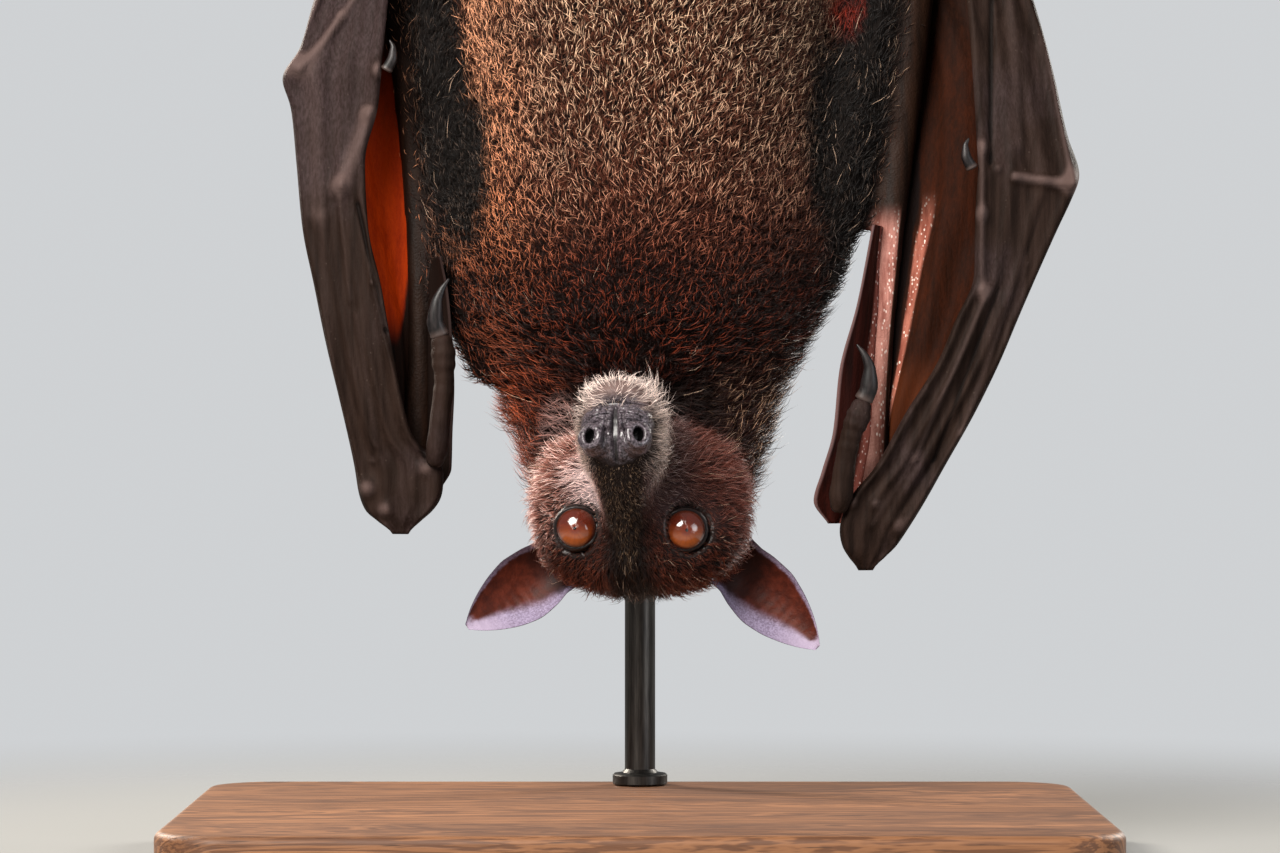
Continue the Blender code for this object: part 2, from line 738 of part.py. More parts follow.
def leg_rod(name, side, grow=0.0):
    """The whole leg down to the ankle as one rod."""
    turn = np.array([1 if side == "right" else -1, 1, 1, 1])
    return limb(f"{name}_{side}", np.array(LEG) * turn, "fur", 10, (0.5, 0.0), 1.0, 10, grow)


def clear(made, others):
    """Cuts the node free of its neighbours, and keeps the one large piece."""
    combine(made, [helper_of(o) for o in others], "DIFFERENCE")
    largest(made)


def elbow_split(side):
    """The plane between the two arm rods, which meet in a V at the elbow: its direction and a point on it."""
    lower, upper = above_crown(FOREARM[side]), above_crown(UPPER_ARM[side])
    top, low = lower[-1, :3], upper[2]
    other = between(lower[:, [2, 0, 1, 3]], low[2])[0]
    near = np.array([other[0], other[1], low[2]])
    middle = low[:3] + (near - low[:3]) * low[3] / (low[3] + other[2])
    down = unit(middle - top)
    return unit((near - low[:3]) - down * down.dot(near - low[:3])), top


def make_wing(side):
    grow = GAP + 0.1
    upper, fore = arm_rods(side)
    split, top = elbow_split(side)
    cut(fore, top + split * GAP / 2, -split)
    cut(upper, top - split * GAP / 2, split)
    clear(upper, [make_trunk(grow), make_neck(grow)])
    clear(fore, [make_trunk(grow)])
    hand_plate("wing_hand_" + side, HAND[side], 12)
    hand_plate("wing_fingers_" + side, FINGERS[side], 8)
    hand = ("hand", HAND[side], 12, grow)
    clear(make_front_skin(side), (*arm_rods(side, grow), hand_plate(*hand)))
    fingers = hand_plate("fingers", FINGERS[side], 8, grow)
    around = (make_trunk(grow), *arm_rods(side, grow), leg_rod("leg", side, grow), fingers)
    clear(make_wing_skin(side), (*around, hand_plate(*hand)))
    thumb = limb("thumb_" + side, above_crown(THUMB[side]), "skin", 10, (0.5, 0.0), 1.0, 8)
    clear(thumb, [hand_plate(*hand)])
    limb("thumb_claw_" + side, above_crown(THUMB_CLAW[side]), "claw", 8, (0.0, 0.9), 0.8, 7)
    claw = limb("finger_claw_" + side, above_crown(FINGER_CLAW[side]), "claw", 8, (0.3, 0.9), 0.8, 5)
    clear(claw, [hand_plate(*hand), hand_plate("fingers", FINGERS[side], 8, grow)])


def toe_path(x, spread, start, end, radius, count, lift=0.0):
    """Rows of x, y, z, radius round the branch from one angle to another."""
    rows = []
    for i in range(count):
        k = i / (count - 1)
        a = math.radians(start + (end - start) * k)
        size = radius[0] + (radius[1] - radius[0]) * k
        reach = BRANCH_RADIUS + 1.5 + lift + size
        across = x + spread * (0.62 + 0.38 * min(1, max(0, (math.degrees(a) + 34) / 60)))
        rows.append((across, BRANCH_Y + reach * math.cos(a), BRANCH_Z + reach * math.sin(a), size))
    return rows


def make_leg(side):
    way = 1 if side == "right" else -1
    thigh = leg_rod("thigh", side)
    cut(thigh, (0, 0, KNEE_Z - GAP / 2), (0, 0, 1))
    clear(thigh, [make_trunk(GAP + 0.1)])
    cut(leg_rod("shank", side), (0, 0, KNEE_Z + GAP / 2), (0, 0, -1))
    rings = []
    for x, y, z, half, deep in stations([(r[2], r[0], r[1], r[3], r[4]) for r in FOOT], 5)[
        :, [1, 2, 0, 3, 4]
    ]:
        rings.append(oval((way * x, y, z), (1, 0, 0), (0, 1, 0), half, deep, deep, 2.3, 10))
    foot = loft("foot_" + side, rings, "skin")
    toes = []
    for i, spread in enumerate(TOE_SPREAD):
        path = toe_path(30 * way, spread, TOE_FROM, TOE_TO, (TOE_RADIUS, TOE_RADIUS * 0.9), 4)
        toes.append(limb(f"toe_{i}_{side}", path, "skin", 6, (0.3, 0.1)))
        toes[-1].hide_render = True
        start = TOE_TO + 4.5
        path = toe_path(30 * way, spread, start, CLAW_TO, (1.9, 0.45), 4, -0.5)
        limb(f"toe_claw_{i + 1}_{side}", path, "claw", 6, (0.1, 0.8), 1.0)
    combine(foot, toes, "UNION")


def make_perch():
    rings = []
    for i in range(12):
        x = -BRANCH_HALF + 2 * BRANCH_HALF * i / 11
        grow = 0.5 * math.sin(x * 0.06) + 0.35 * math.sin(x * 0.13 + 1)
        knot = 0.0 if abs(x) < 52 else 2.2 * math.exp(-(((abs(x) - 84) / 9) ** 2))
        r = BRANCH_RADIUS - 0.9 + grow + knot
        ring = oval((x, BRANCH_Y, BRANCH_Z), (0, 1, 0), (0, 0, 1), r, r, r, 2, 14)
        rings.append(ring)
    return loft("perch", rings, "bark")


def make_stand():
    w, d, t = BASE_SIZE
    outline = []
    for cx, cy, start in ((1, 1, 0), (-1, 1, 90), (-1, -1, 180), (1, -1, 270)):
        for k in range(5):
            a = math.radians(start + 22.5 * k)
            x = cx * (w / 2 - BASE_CORNER) + BASE_CORNER * math.cos(a)
            y = cy * (d / 2 - BASE_CORNER) + BASE_CORNER * math.sin(a)
            outline.append((x, y))
    outline = np.array(outline)
    rings = []
    for z, inset in ((0, 0), (t - 2.5, 0), (t - 0.8, 0.8), (t, 2.5)):
        shrink = outline * (1 - inset / np.array([w / 2, d / 2]))
        rings.append(np.hstack([shrink, np.full((len(shrink), 1), float(z))]))
    loft("stand_base", rings, "wood")
    top = BRANCH_Z + ARM_RADIUS + 2
    post = [oval((0, POST_Y, z), (1, 0, 0), (0, 1, 0), r, r, r, 2, 14)
            for z, r in ((t + GAP, 9.0), (t + 4, 9.0), (t + 5, 5.0), (top - 1, 5.0), (top, 4.0))]
    loft("stand_post", post, "metal")
    start = POST_Y - POST_RADIUS - GAP
    end = BRANCH_Y + BRANCH_RADIUS + 0.9
    arm = [oval((0, y, BRANCH_Z), (1, 0, 0), (0, 0, 1), r, r, r, 2, 14)
           for y, r in ((start, ARM_RADIUS), (end + 2.5, ARM_RADIUS), (end + 2.2, 8.0), (end, 8.0))]
    loft("stand_arm", arm, "metal")


remove_all()
make_trunk()
make_neck()
head = make_head()
make_eyes(head)
for which in ("left", "right"):
    make_ear(which)
    make_wing(which)
    make_leg(which)
make_perch()
make_stand()
for helper in [o for o in bpy.data.objects if o.hide_render]:
    bpy.data.objects.remove(helper)
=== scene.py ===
"""A large fruit bat hanging head down from a cut branch, on a plain display stand.

The skin, coat, eyes, claws, perch and stand are made here. Tables are in millimetres,
meshes in metres, +Z up. Left and right are those of someone who faces the bat.
"""

import math
from itertools import product

import bmesh
import bpy
import numpy as np
from mathutils.kdtree import KDTree
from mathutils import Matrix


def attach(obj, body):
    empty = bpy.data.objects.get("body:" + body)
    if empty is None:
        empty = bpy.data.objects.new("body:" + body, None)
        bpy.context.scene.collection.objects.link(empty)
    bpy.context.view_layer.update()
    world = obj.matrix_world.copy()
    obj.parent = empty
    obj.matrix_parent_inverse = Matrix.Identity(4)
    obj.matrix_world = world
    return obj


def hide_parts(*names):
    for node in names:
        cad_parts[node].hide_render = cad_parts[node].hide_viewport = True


MM = 0.001
WAYS = {"left": -1, "right": 1}
SIDES = tuple(WAYS)
BASE_SIZE = (284.0, 204.0, 18.0)
BASE_CORNER, BASE_EDGE = 22.0, 2.6
FLOOR_DROP = 0.05
POST_Y = 85.0
BRANCH_Y, BRANCH_Z, BRANCH_RADIUS, BRANCH_HALF = 3.0, 516.0, 16.0, 112.0
EYE_RADIUS = 7.3
CROWN_Z = 82.0
# height, centre x, half width, front y, back y
TRUNK = [
    (150.4, 0, 46, -33, 42), (158, -0.4, 52, -36, 47), (167, -0.6, 57, -38.5, 50),
    (180, -1.4, 62.5, -40, 54), (196, -1.4, 65, -40.5, 56), (216, -0.4, 62, -39, 56),
    (237, 2, 58, -37, 55), (268, 2.4, 59, -36, 53), (297, 2, 54, -33, 50), (318, 1.5, 46, -27, 46),
    (334, 1, 35, -19, 41), (345, 0.5, 23, -10, 34), (351, 0, 11, -1, 25),
]

# The head's own frame: S to the side, F out along the muzzle, U towards the crown.
HEAD_AT = np.array([-2.8, -36.0, 104.6])
HEAD_F = np.array([-0.11, -0.914, 0.378])
HEAD_U = np.array([0.0, -0.382, -0.924])
# along F, side shift, half width, top, bottom, power
HEAD = [
    (-43, 3, 13, 3, 16, 2), (-38, 3, 23, 9, 27, 2.1), (-30, 3, 31, 13, 36, 2.3),
    (-21, 2.6, 35.2, 15.6, 41, 2.4), (-12, 1.6, 36, 17.8, 43, 2.4), (-5, 0.6, 33, 18.4, 43, 2.4),
    (0, 0.2, 27.5, 17.6, 42.5, 2.2), (4.5, 0, 18.5, 15.4, 42, 1.9), (8.5, 0, 12.4, 12.4, 41.3, 1.7),
    (12, 0, 10.9, 9.4, 40.5, 1.7), (17, 0, 11.2, 5.8, 39, 1.8), (24, 0, 12.3, 1.7, 37, 1.9),
    (32, 0, 12.2, -2.4, 35, 2), (39, 0, 12, -6, 30, 2.1), (43.5, 0, 10, -8.5, 24, 2.3),
]
# the plane between head and neck, and the neck: height, centre y, half width, front, back
NECK_CUT_AT = np.array([0.0, -7.5, 117.0])
NECK_CUT_N = np.array([0.0, 0.80, 0.60])
NECK = [
    (117.3, -7.3, 35, 33, 29), (127, -3.5, 38.5, 32, 32.5), (136, 0.5, 41.5, 32.5, 36),
    (143.5, 3.5, 44, 34.5, 38.5), (150, 4.5, 45.5, 37, 37),
]

# The eyes: centres of the balls.
EYES = {"left": np.array([-18.8, -37.7, 105.4]), "right": np.array([13.3, -36.8, 104.8])}

# The ears: middle of the root, tip, how far the root's two edges lie from the middle.
EARS = {
    "left": ((-27.0, -17.0, 92.0), (-53.3, -18.0, 74.3), -1),
    "right": ((30.5, -15.0, 91.5), (54.8, -16.0, 67.7), 1),
}
# share of the length, half width towards the outer edge, half width towards the inner edge, hollow
EAR_SHAPE = [
    (0, 9.8, 8.5, 5.2), (0.15, 10.6, 9.8, 5.6), (0.32, 10.8, 10.4, 5.2), (0.5, 9.6, 9.4, 4.2),
    (0.68, 7.4, 7.2, 2.9), (0.84, 4.6, 4.4, 1.4), (0.95, 2, 1.9, 0.4),
]

# The folded wing of each side. Heights are above the crown.
# height, inner x, outer x, middle y, thickness of the digits, thickness of the skin
HAND = {
    "right": [
        (11.6, 66, 72.5, -14, 6, 5), (15, 62.8, 77, -14.5, 9.5, 8), (22, 61, 82, -15.5, 10, 8),
        (31, 63.5, 87.5, -17, 8.6, 5), (41, 71.5, 93, -18.5, 7, 2.4), (58, 81, 102.5, -20, 6.2, 2),
        (74, 91, 110.3, -20.5, 5.8, 1.9), (87, 96.5, 115.8, -20, 5.6, 1.8),
        (100, 102, 121.5, -19, 5.6, 1.8), (115, 102.3, 128.3, -18, 5.8, 1.8),
        (125, 102.8, 133, -17, 6.8, 1.9), (131, 103.4, 135, -16.4, 7.4, 2),
    ],
    "left": [
        (22.7, -70, -77, -14, 6, 5), (26, -65.5, -83, -14.5, 9.5, 8), (33, -60.5, -86.3, -15.5, 10, 8),
        (41, -60, -87.5, -17, 8.6, 5), (50, -69, -89.3, -18.5, 7, 2.4), (62, -72.5, -92, -20, 6.2, 2),
        (80, -76, -96.3, -20.5, 5.8, 1.9), (97, -79, -99.8, -20, 5.6, 1.8),
        (115, -83, -103.5, -19, 5.6, 1.8), (135, -84, -105.4, -18, 5.8, 1.8),
        (152, -80, -107.2, -17, 6.8, 1.9), (161, -79.2, -110, -16.4, 7.4, 2),
    ],
}
FINGERS = {
    "right": [
        (131.5, 103.4, 135, -16.3, 7, 2), (143, 103, 131.5, -14.5, 5.8, 1.8),
        (163, 102, 127.3, -11.5, 5.2, 1.6), (186, 100.5, 121.5, -7, 5, 1.6),
        (225, 88, 106, 0, 4.6, 1.5), (262, 71, 86, 8.5, 4.2, 1.4), (285, 60, 71.5, 14, 3.6, 1.3),
        (300, 54.5, 59.5, 17.5, 2.6, 1.2),
    ],
    "left": [
        (161.5, -79.2, -110, -16.3, 7, 2), (169, -78.6, -105, -14.8, 5.8, 1.8),
        (186, -77.2, -100.3, -10.5, 5.2, 1.6), (212, -75, -91.5, -4, 5, 1.6),
        (238, -68.5, -81.5, 2.5, 4.6, 1.5), (268, -59, -70.5, 10, 4.2, 1.4),
        (288, -52, -61.5, 14.5, 3.6, 1.3), (303, -48.5, -52.5, 18, 2.6, 1.2),
    ],
}
# Places across the hand where a finger bone runs, 0 at the inner edge.
DIGITS = (0.06, 0.36, 0.66, 0.95)

# x, y, height, radius from the wrist to the elbow
FOREARM = {
    "right": [
        (69, -3.6, 18, 4.2), (70.2, -3.2, 24, 6), (71.4, -3.4, 33, 5.4), (72.6, -3, 48, 4.4),
        (74.4, -1.6, 76, 4), (77.2, 2, 110, 4.6), (80.2, 7, 146, 6.4), (83, 13.5, 186, 9),
        (84, 18.6, 212, 10.5), (84, 20, 226, 9),
    ],
    "left": [
        (-73, -3.6, 29, 4.2), (-71.5, -3.2, 35, 6), (-69.6, -3.4, 44, 5.4), (-68.2, -3, 60, 4.4),
        (-68, -1.6, 88, 4), (-68.6, 2, 120, 4.6), (-70.5, 7, 156, 6.4), (-73, 13.5, 192, 9),
        (-75, 18.6, 216, 10.5), (-75.4, 20, 230, 9),
    ],
}
# x, y, height, radius from the shoulder to the elbow
UPPER_ARM = {
    "right": [
        (40, 4, 84, 14), (49, 2, 104, 16), (58, 4, 130, 15.5), (66, 8, 160, 14), (74, 13, 190, 12),
        (81, 18, 214, 11), (84, 20, 228, 9),
    ],
    "left": [
        (-40, 2, 72, 14), (-48, -1, 92, 16), (-53.5, 1, 122, 15), (-60, 7, 158, 14), (-67, 13, 194, 12),
        (-73.5, 18, 218, 11), (-75.4, 20, 232, 9),
    ],
}
# height, free edge x, free edge y, edge by the forearm x, edge by the forearm y
FRONT_SKIN = {
    "right": [
        (24, 58, -8.6, 62, -6.4), (31, 53.4, -12, 67.6, -6.2), (40, 55.8, -14, 69.6, -6.2),
        (52, 59.2, -15, 71.6, -5.6), (71, 61.2, -15, 72.4, -4.4), (91, 66.6, -13, 73.6, -3),
        (105, 69.6, -11, 74, -1.6), (116, 71.8, -9, 74.8, -1),
    ],
    "left": [
        (34, -62, -8.6, -64.4, -6.4), (41, -58, -12, -65.4, -6.2), (52, -57.6, -14, -65.6, -6),
        (66, -57, -15, -65.6, -5.2), (80, -57.6, -15, -65.6, -4.4), (96, -59, -16, -65.6, -3.2),
        (106, -61, -18, -64.2, -2.6),
    ],
}
# height, inner x, inner y, bulge x, bulge y, outer x, outer y
WING_SKIN = {
    "right": [
        (45, 74.8, -1, 77.4, -3, 80.4, -6.5), (56, 75.4, -1, 79.6, -4, 84.5, -8),
        (75, 76.5, 0, 87, -3, 98, -11), (100, 78.5, 2.5, 95.5, 2, 112, -11),
        (130, 81.5, 6.5, 104, 6, 126, -8), (160, 82, 15.5, 105, 16, 122, -4),
        (190, 72, 27.5, 101, 28, 115, 4), (222, 49, 37.5, 96, 41, 104, 10),
        (255, 31, 37, 76, 44, 86, 17), (288, 30, 25, 58, 34, 69, 20.5), (322, 40, 16, 50, 24, 57.5, 20),
        (360, 36, 18, 43, 23, 48.5, 22), (388, 33, 22, 37.4, 25, 41, 25),
    ],
    "left": [
        (60, -70.4, -1, -72, -3, -74.2, -6.5), (84, -70, -1, -73, -3, -77.5, -7),
        (100, -69.5, 1.5, -77, -1, -86, -10), (125, -70, 4.5, -82, 4, -96, -9),
        (155, -72, 9.5, -86, 10, -103, -7), (180, -72.5, 19.5, -87, 20, -98, -3),
        (205, -64, 29.5, -84, 32, -91, 4), (230, -47, 37.5, -78, 42, -85, 10),
        (258, -31, 37, -65, 45, -73, 17), (290, -30, 25, -52, 35, -61, 20.5),
        (322, -40, 16, -48, 24, -54.5, 20), (360, -36, 18, -42.5, 23, -47.5, 22),
        (388, -33, 22, -37.4, 25, -41, 25),
    ],
}
# x, y, height, radius
THUMB = {
    "right": [
        (60.6, -23.6, 29, 2.6), (61.2, -25, 33, 3.6), (62.6, -26.2, 44, 3.2), (64.4, -27, 52, 3.3),
        (66.4, -27.2, 57, 3.9), (67.6, -27, 61, 2.8),
    ],
    "left": [
        (-62.6, -23.6, 43, 2.6), (-61.8, -25, 47, 3.4), (-60.6, -26.2, 58, 3.1), (-59.6, -27, 68, 3.1),
        (-59.8, -27.2, 76, 3.9), (-60.4, -27, 80.5, 3.1),
    ],
}
THUMB_CLAW = {
    "right": [
        (68.1, -27, 62.2, 2.7), (69.6, -27.6, 66, 2.7), (69.8, -28.4, 71, 1.9),
        (68.2, -28.8, 75.6, 1.1), (66, -28.6, 78.6, 0.35),
    ],
    "left": [
        (-60.9, -27.1, 81.7, 2.8), (-62.2, -27.8, 86, 2.6), (-61.8, -28.6, 91, 1.9),
        (-60.2, -28.8, 95.4, 1.1), (-58.2, -28.4, 98.6, 0.35),
    ],
}
FINGER_CLAW = {
    "right": [
        (101.4, -20.4, 133, 1.8), (99.6, -20.8, 136.6, 1.5), (99.4, -20.8, 139.6, 0.9),
        (100.4, -20.6, 141.8, 0.3),
    ],
    "left": [
        (-77.4, -20.4, 163, 1.8), (-75.6, -20.8, 166.6, 1.5), (-75.4, -20.8, 169.6, 0.9),
        (-76.4, -20.6, 171.8, 0.3),
    ],
}
# x away from the middle, y, z, radius
LEG = [
    (14, 12, 318, 15), (22, 13, 335, 16.5), (31, 12, 360, 14), (38, 10, 382, 11), (40.5, 9.8, 394, 9.4),
    (39.5, 12, 412, 7.6), (35.5, 17, 440, 5.8), (31.5, 22.5, 466, 4.8), (30.6, 24.5, 476, 5),
]
KNEE_Z = 394.0
FOOT = [
    (30.5, 24.9, 478.2, 4.8, 4.8), (30.2, 25.2, 483, 5.4, 4.6), (30, 25, 492, 8, 3.8),
    (30, 24.4, 501, 11, 3.4), (30, 24, 507, 12, 3),
]
TOE_SPREAD = (-10.6, -5.4, 0.0, 5.4, 10.6)
TOE_FROM, TOE_TO, CLAW_TO = -34.0, 62.0, 128.0
TOE_RADIUS = 2.35
FOOT_X = 30.0


def between(keys, places):
    """The rows of keys, whose first column is the place, at other places.

    The curve between them is smooth and never overshoots.
    """
    keys = np.asarray(keys, float)
    x, y = keys[:, 0], keys[:, 1:]
    step, slope = np.diff(x), np.diff(y, axis=0) / np.diff(x)[:, None]
    m = np.zeros_like(y)
    m[0], m[-1] = slope[0], slope[-1]
    for i in range(1, len(x) - 1):
        a, b = 2 * step[i] + step[i - 1], step[i] + 2 * step[i - 1]
        same = slope[i - 1] * slope[i] > 0
        before = np.where(same, slope[i - 1], 1)
        after = np.where(same, slope[i], 1)
        m[i] = np.where(same, (a + b) / (a / before + b / after), 0)
    at = np.clip(np.atleast_1d(np.asarray(places, float)), x[0], x[-1])
    i = np.clip(np.searchsorted(x, at) - 1, 0, len(x) - 2)
    t = ((at - x[i]) / step[i])[:, None]
    h = step[i][:, None]
    return (
        (1 + 2 * t) * (1 - t) ** 2 * y[i]
        + t * (1 - t) ** 2 * h * m[i]
        + t * t * (3 - 2 * t) * y[i + 1]
        + t * t * (t - 1) * h * m[i + 1]
    )


def stations(keys, count):
    """The rows of keys at evenly spaced places from the first to the last, place included."""
    keys = np.asarray(keys, float)
    places = np.linspace(keys[0, 0], keys[-1, 0], count)
    return np.hstack([places[:, None], between(keys, places)])


def unit(v):
    v = np.asarray(v, float)
    return v / np.linalg.norm(v)


def lengths(rows):
    return np.linalg.norm(rows, axis=-1)


def units(rows, least=1e-3):
    """Rows at length 1, apart from those shorter than least."""
    return rows / np.maximum(lengths(rows), least)[..., None]


def oval(centre, side, up, half, top, bottom, power, count):
    """One closed ring: a rounded oval with its own reach to either side, top and bottom."""
    a = np.arange(count) * 2 * math.pi / count
    c, s = np.cos(a), np.sin(a)
    x = np.sign(c) * np.abs(c) ** (2 / power) * half
    y = np.sign(s) * np.abs(s) ** (2 / power)
    y = np.where(s > 0, y * top, y * bottom)
    return np.asarray(centre) + x[:, None] * np.asarray(side) + y[:, None] * np.asarray(up)


def frames(path):
    """Directions along a path of points, and two across it that don't twist."""
    along = units(np.gradient(path, axis=0))
    side = np.cross(along[0], (0, 1, 0))
    out = []
    for d in along:
        side = unit(side - d * side.dot(d))
        out.append((side, np.cross(d, side)))
    return along, out


def above_crown(rows):
    """The same rows of x, y, height, with the height measured from the floor."""
    rows = np.asarray(rows, float).copy()
    rows[:, 2] += CROWN_Z
    return rows


class Amount:
    """A number that varies over a surface, and takes part in sums."""

    def __init__(self, look, socket):
        self.look, self.socket = look, socket

    def two(self, operation, a, b):
        return self.look.step("Math", {0: a, 1: b}, operation=operation)

    def __add__(self, other):
        return self.two("ADD", self, other)

    def __sub__(self, other):
        return self.two("SUBTRACT", self, other)

    def __rsub__(self, other):
        return self.two("SUBTRACT", other, self)

    def __mul__(self, other):
        return self.two("MULTIPLY", self, other)

    def __abs__(self):
        return self.look.step("Math", {0: self}, operation="ABSOLUTE")

    __radd__, __rmul__ = __add__, __mul__

    def rise(self, low, high):
        """0 up to low, 1 from high, and a soft rise between; high may be the smaller."""
        inputs = {0: self, 1: low, 2: high, 3: 0.0, 4: 1.0}
        return self.look.step("MapRange", inputs, interpolation_type="SMOOTHSTEP")


class Look:
    """One material while it is made."""

    def __init__(self, name, **constants):
        self.material = bpy.data.materials.new(name)
        self.material.use_nodes = True
        self.tree = self.material.node_tree
        self.shader = self.tree.nodes["Principled BSDF"]
        for key, value in constants.items():
            self.shader.inputs[key.replace("_", " ")].default_value = value
        metres = self.step("TexCoord", output=3)
        self.place = self.step("VectorMath", {0: metres, 3: 1 / MM}, operation="SCALE")

    def step(self, kind, inputs=None, output=0, **settings):
        """Adds a node: its settings first, then values or links for its sockets."""
        made = self.tree.nodes.new("ShaderNode" + kind)
        for key, value in settings.items():
            setattr(made, key, value)
        for key, value in (inputs or {}).items():
            if isinstance(value, Amount):
                self.tree.links.new(value.socket, made.inputs[key])
            else:
                made.inputs[key].default_value = value
        return Amount(self, made.outputs[output])

    def number(self, value):
        """The same number all over."""
        made = self.step("Value")
        made.socket.default_value = value
        return made

    def sine(self, value):
        return self.step("Math", {0: value}, operation="SINE")

    def mix(self, share, low, high, blend="MIX"):
        """One colour over another by a share; three numbers are a paint tone from 0 to 255."""
        low, high = (tone(*c) if isinstance(c, tuple) and len(c) == 3 else c for c in (low, high))
        return self.step("Mix", {0: share, 6: low, 7: high}, 2, data_type="RGBA", blend_type=blend)

    def fade(self, value, low, high, first, second):
        """One colour up to where the value is low, another from where it is high."""
        return self.mix(value.rise(low, high), first, second)

    def along(self, vector, start=(0, 0, 0)):
        """How far the surface lies from a start in a direction, in millimetres."""
        moved = self.step("VectorMath", {0: self.place, 1: tuple(start)}, operation="SUBTRACT")
        return self.step("VectorMath", {0: moved, 1: tuple(vector)}, 1, operation="DOT_PRODUCT")

    def reach(self, centre, sizes=(1, 1, 1)):
        """Distance from a centre, each axis in its own unit."""
        moved = self.step("VectorMath", {0: self.place, 1: tuple(centre)}, operation="SUBTRACT")
        scaled = self.step("VectorMath", {0: moved, 1: tuple(sizes)}, operation="DIVIDE")
        return self.step("VectorMath", {0: scaled}, 1, operation="LENGTH")

    def noise(self, scale, detail=3.0, rough=0.5, stretch=(1, 1, 1), bend=0.0):
        """Noise from 0 to 1 with features of 1/scale millimetres."""
        place = self.step("VectorMath", {0: self.place, 1: stretch}, operation="MULTIPLY")
        inputs = {"Vector": place, "Scale": scale, "Detail": detail, "Roughness": rough}
        return self.step("TexNoise", {**inputs, "Distortion": bend})

    def cells(self, scale, stretch=(1, 1, 1)):
        """Distance within scattered cells."""
        place = self.step("VectorMath", {0: self.place, 1: stretch}, operation="MULTIPLY")
        return self.step("TexVoronoi", {"Vector": place, "Scale": scale})

    def stored(self, name):
        """A number kept with the mesh's points."""
        return self.step("Attribute", output=2, attribute_name=name)

    def use(self, **links):
        """Feeds the shader's sockets."""
        for key, value in links.items():
            self.tree.links.new(value.socket, self.shader.inputs[key.replace("_", " ")])

    def bump(self, height, depth, below=None):
        """Raises the surface by height times depth in millimetres."""
        inputs = {"Strength": 1.0, "Distance": depth * MM, "Height": height}
        if below:
            inputs["Normal"] = below
        return self.step("Bump", inputs)


def tone(r, g, b):
    """A paint tone from 0 to 255, as light."""
    parts = [v / 255 / 12.92 if v < 10.3 else ((v / 255 + 0.055) / 1.055) ** 2.4 for v in (r, g, b)]
    return (*parts, 1.0)


def head_axes(look):
    """Distances along the head's own axes: forward, sideways, towards the crown."""
    return [look.along(way, HEAD_AT) for way in (HEAD_F, SIDE, HEAD_U)]


def world_axes(look):
    return [look.along(way) for way in ((1, 0, 0), (0, 1, 0), (0, 0, 1))]


def trunk_tones(look, tip, lucky, patch):
    """Near-black roots, dark shafts, and on part of the tufts pale tips.

    The tips are tan high on the belly, and rufous lower down and on the flanks. Painted light makes the left
    flank's tips brighter and more often pale; painted shade darkens the lower chest and the right side.
    """
    x, y, z = world_axes(look)
    upward = (z + patch * 50).rise(190, 285)
    # painted light: the left flank's tips brighter, and more of them pale
    flank = (x + patch * 26).rise(-2, -34)
    dull = look.mix(upward, (88, 36, 20), (100, 56, 38))
    warm = look.mix(flank * 0.8, (146, 60, 34), (250, 162, 112))
    bright = look.mix(upward * (1 - flank * 0.6), warm, (224, 190, 160))
    # painted shade: the lower chest, towards the neck, darker
    low = (z + patch * 24 - flank * 2).rise(226, 184)
    dull = look.mix(low, dull, (20, 6, 4))
    bright = look.mix(low * 0.9, bright, (104, 42, 24))
    picked = (lucky + flank * 0.2).rise(0.96, 1.2)
    trunk = look.fade(tip, 0.15, 0.75, (22, 10, 7), look.mix(picked, dull, bright))
    back = look.fade(tip + lucky * 0.3, 0.4, 1.2, (15, 10, 9), (52, 36, 28))
    trunk = look.fade(y + x * 0.06, 24, 2, back, trunk)
    # painted shade: the right side of the trunk darker
    return look.mix((x + patch * 20).rise(22, 60) * 0.5, trunk, (26, 14, 9))


def ruff_tones(look, tip, lucky, patch, fleck):
    """Dark rufous round the neck, with painted rim light at the left edge, painted shade under the chin and
    on the right, and pale tips on the right.
    """
    x, y, _ = world_axes(look)
    rufous = look.fade(tip, 0.1, 0.8, (16, 6, 4), (60, 22, 12))
    rufous = look.mix((tip * lucky).rise(0.5, 1) * x.rise(12, -20), rufous, (140, 68, 42))
    # painted rim light: orange tips along the left edge of the ruff
    rim_lit_fringe = (x + patch * 10).rise(-26, -38)
    rufous = look.mix(rim_lit_fringe * tip.rise(0.5, 1) * 0.4, rufous, (190, 84, 36))
    # painted shade: near-black across the front of the neck, under the chin
    collar = x.rise(34, 22) * x.rise(-30, -20) * y.rise(-10, -20)
    rufous = look.mix(collar * 0.9, rufous, (15, 5, 3))
    # painted shade: darker on the right side, where pale tips still show
    dim = x.rise(16, 32)
    rufous = look.mix(dim * 0.8, rufous, (38, 20, 15))
    rufous = look.mix(dim * (tip * lucky).rise(0.7, 1.05), rufous, (160, 128, 104))
    down = (look.reach((-25, -24, 136), (9, 22, 12)) + fleck * 0.5).rise(1.25, 0.7)
    return look.mix(down * tip.rise(0.1, 0.7) * 0.45, rufous, (214, 172, 166))


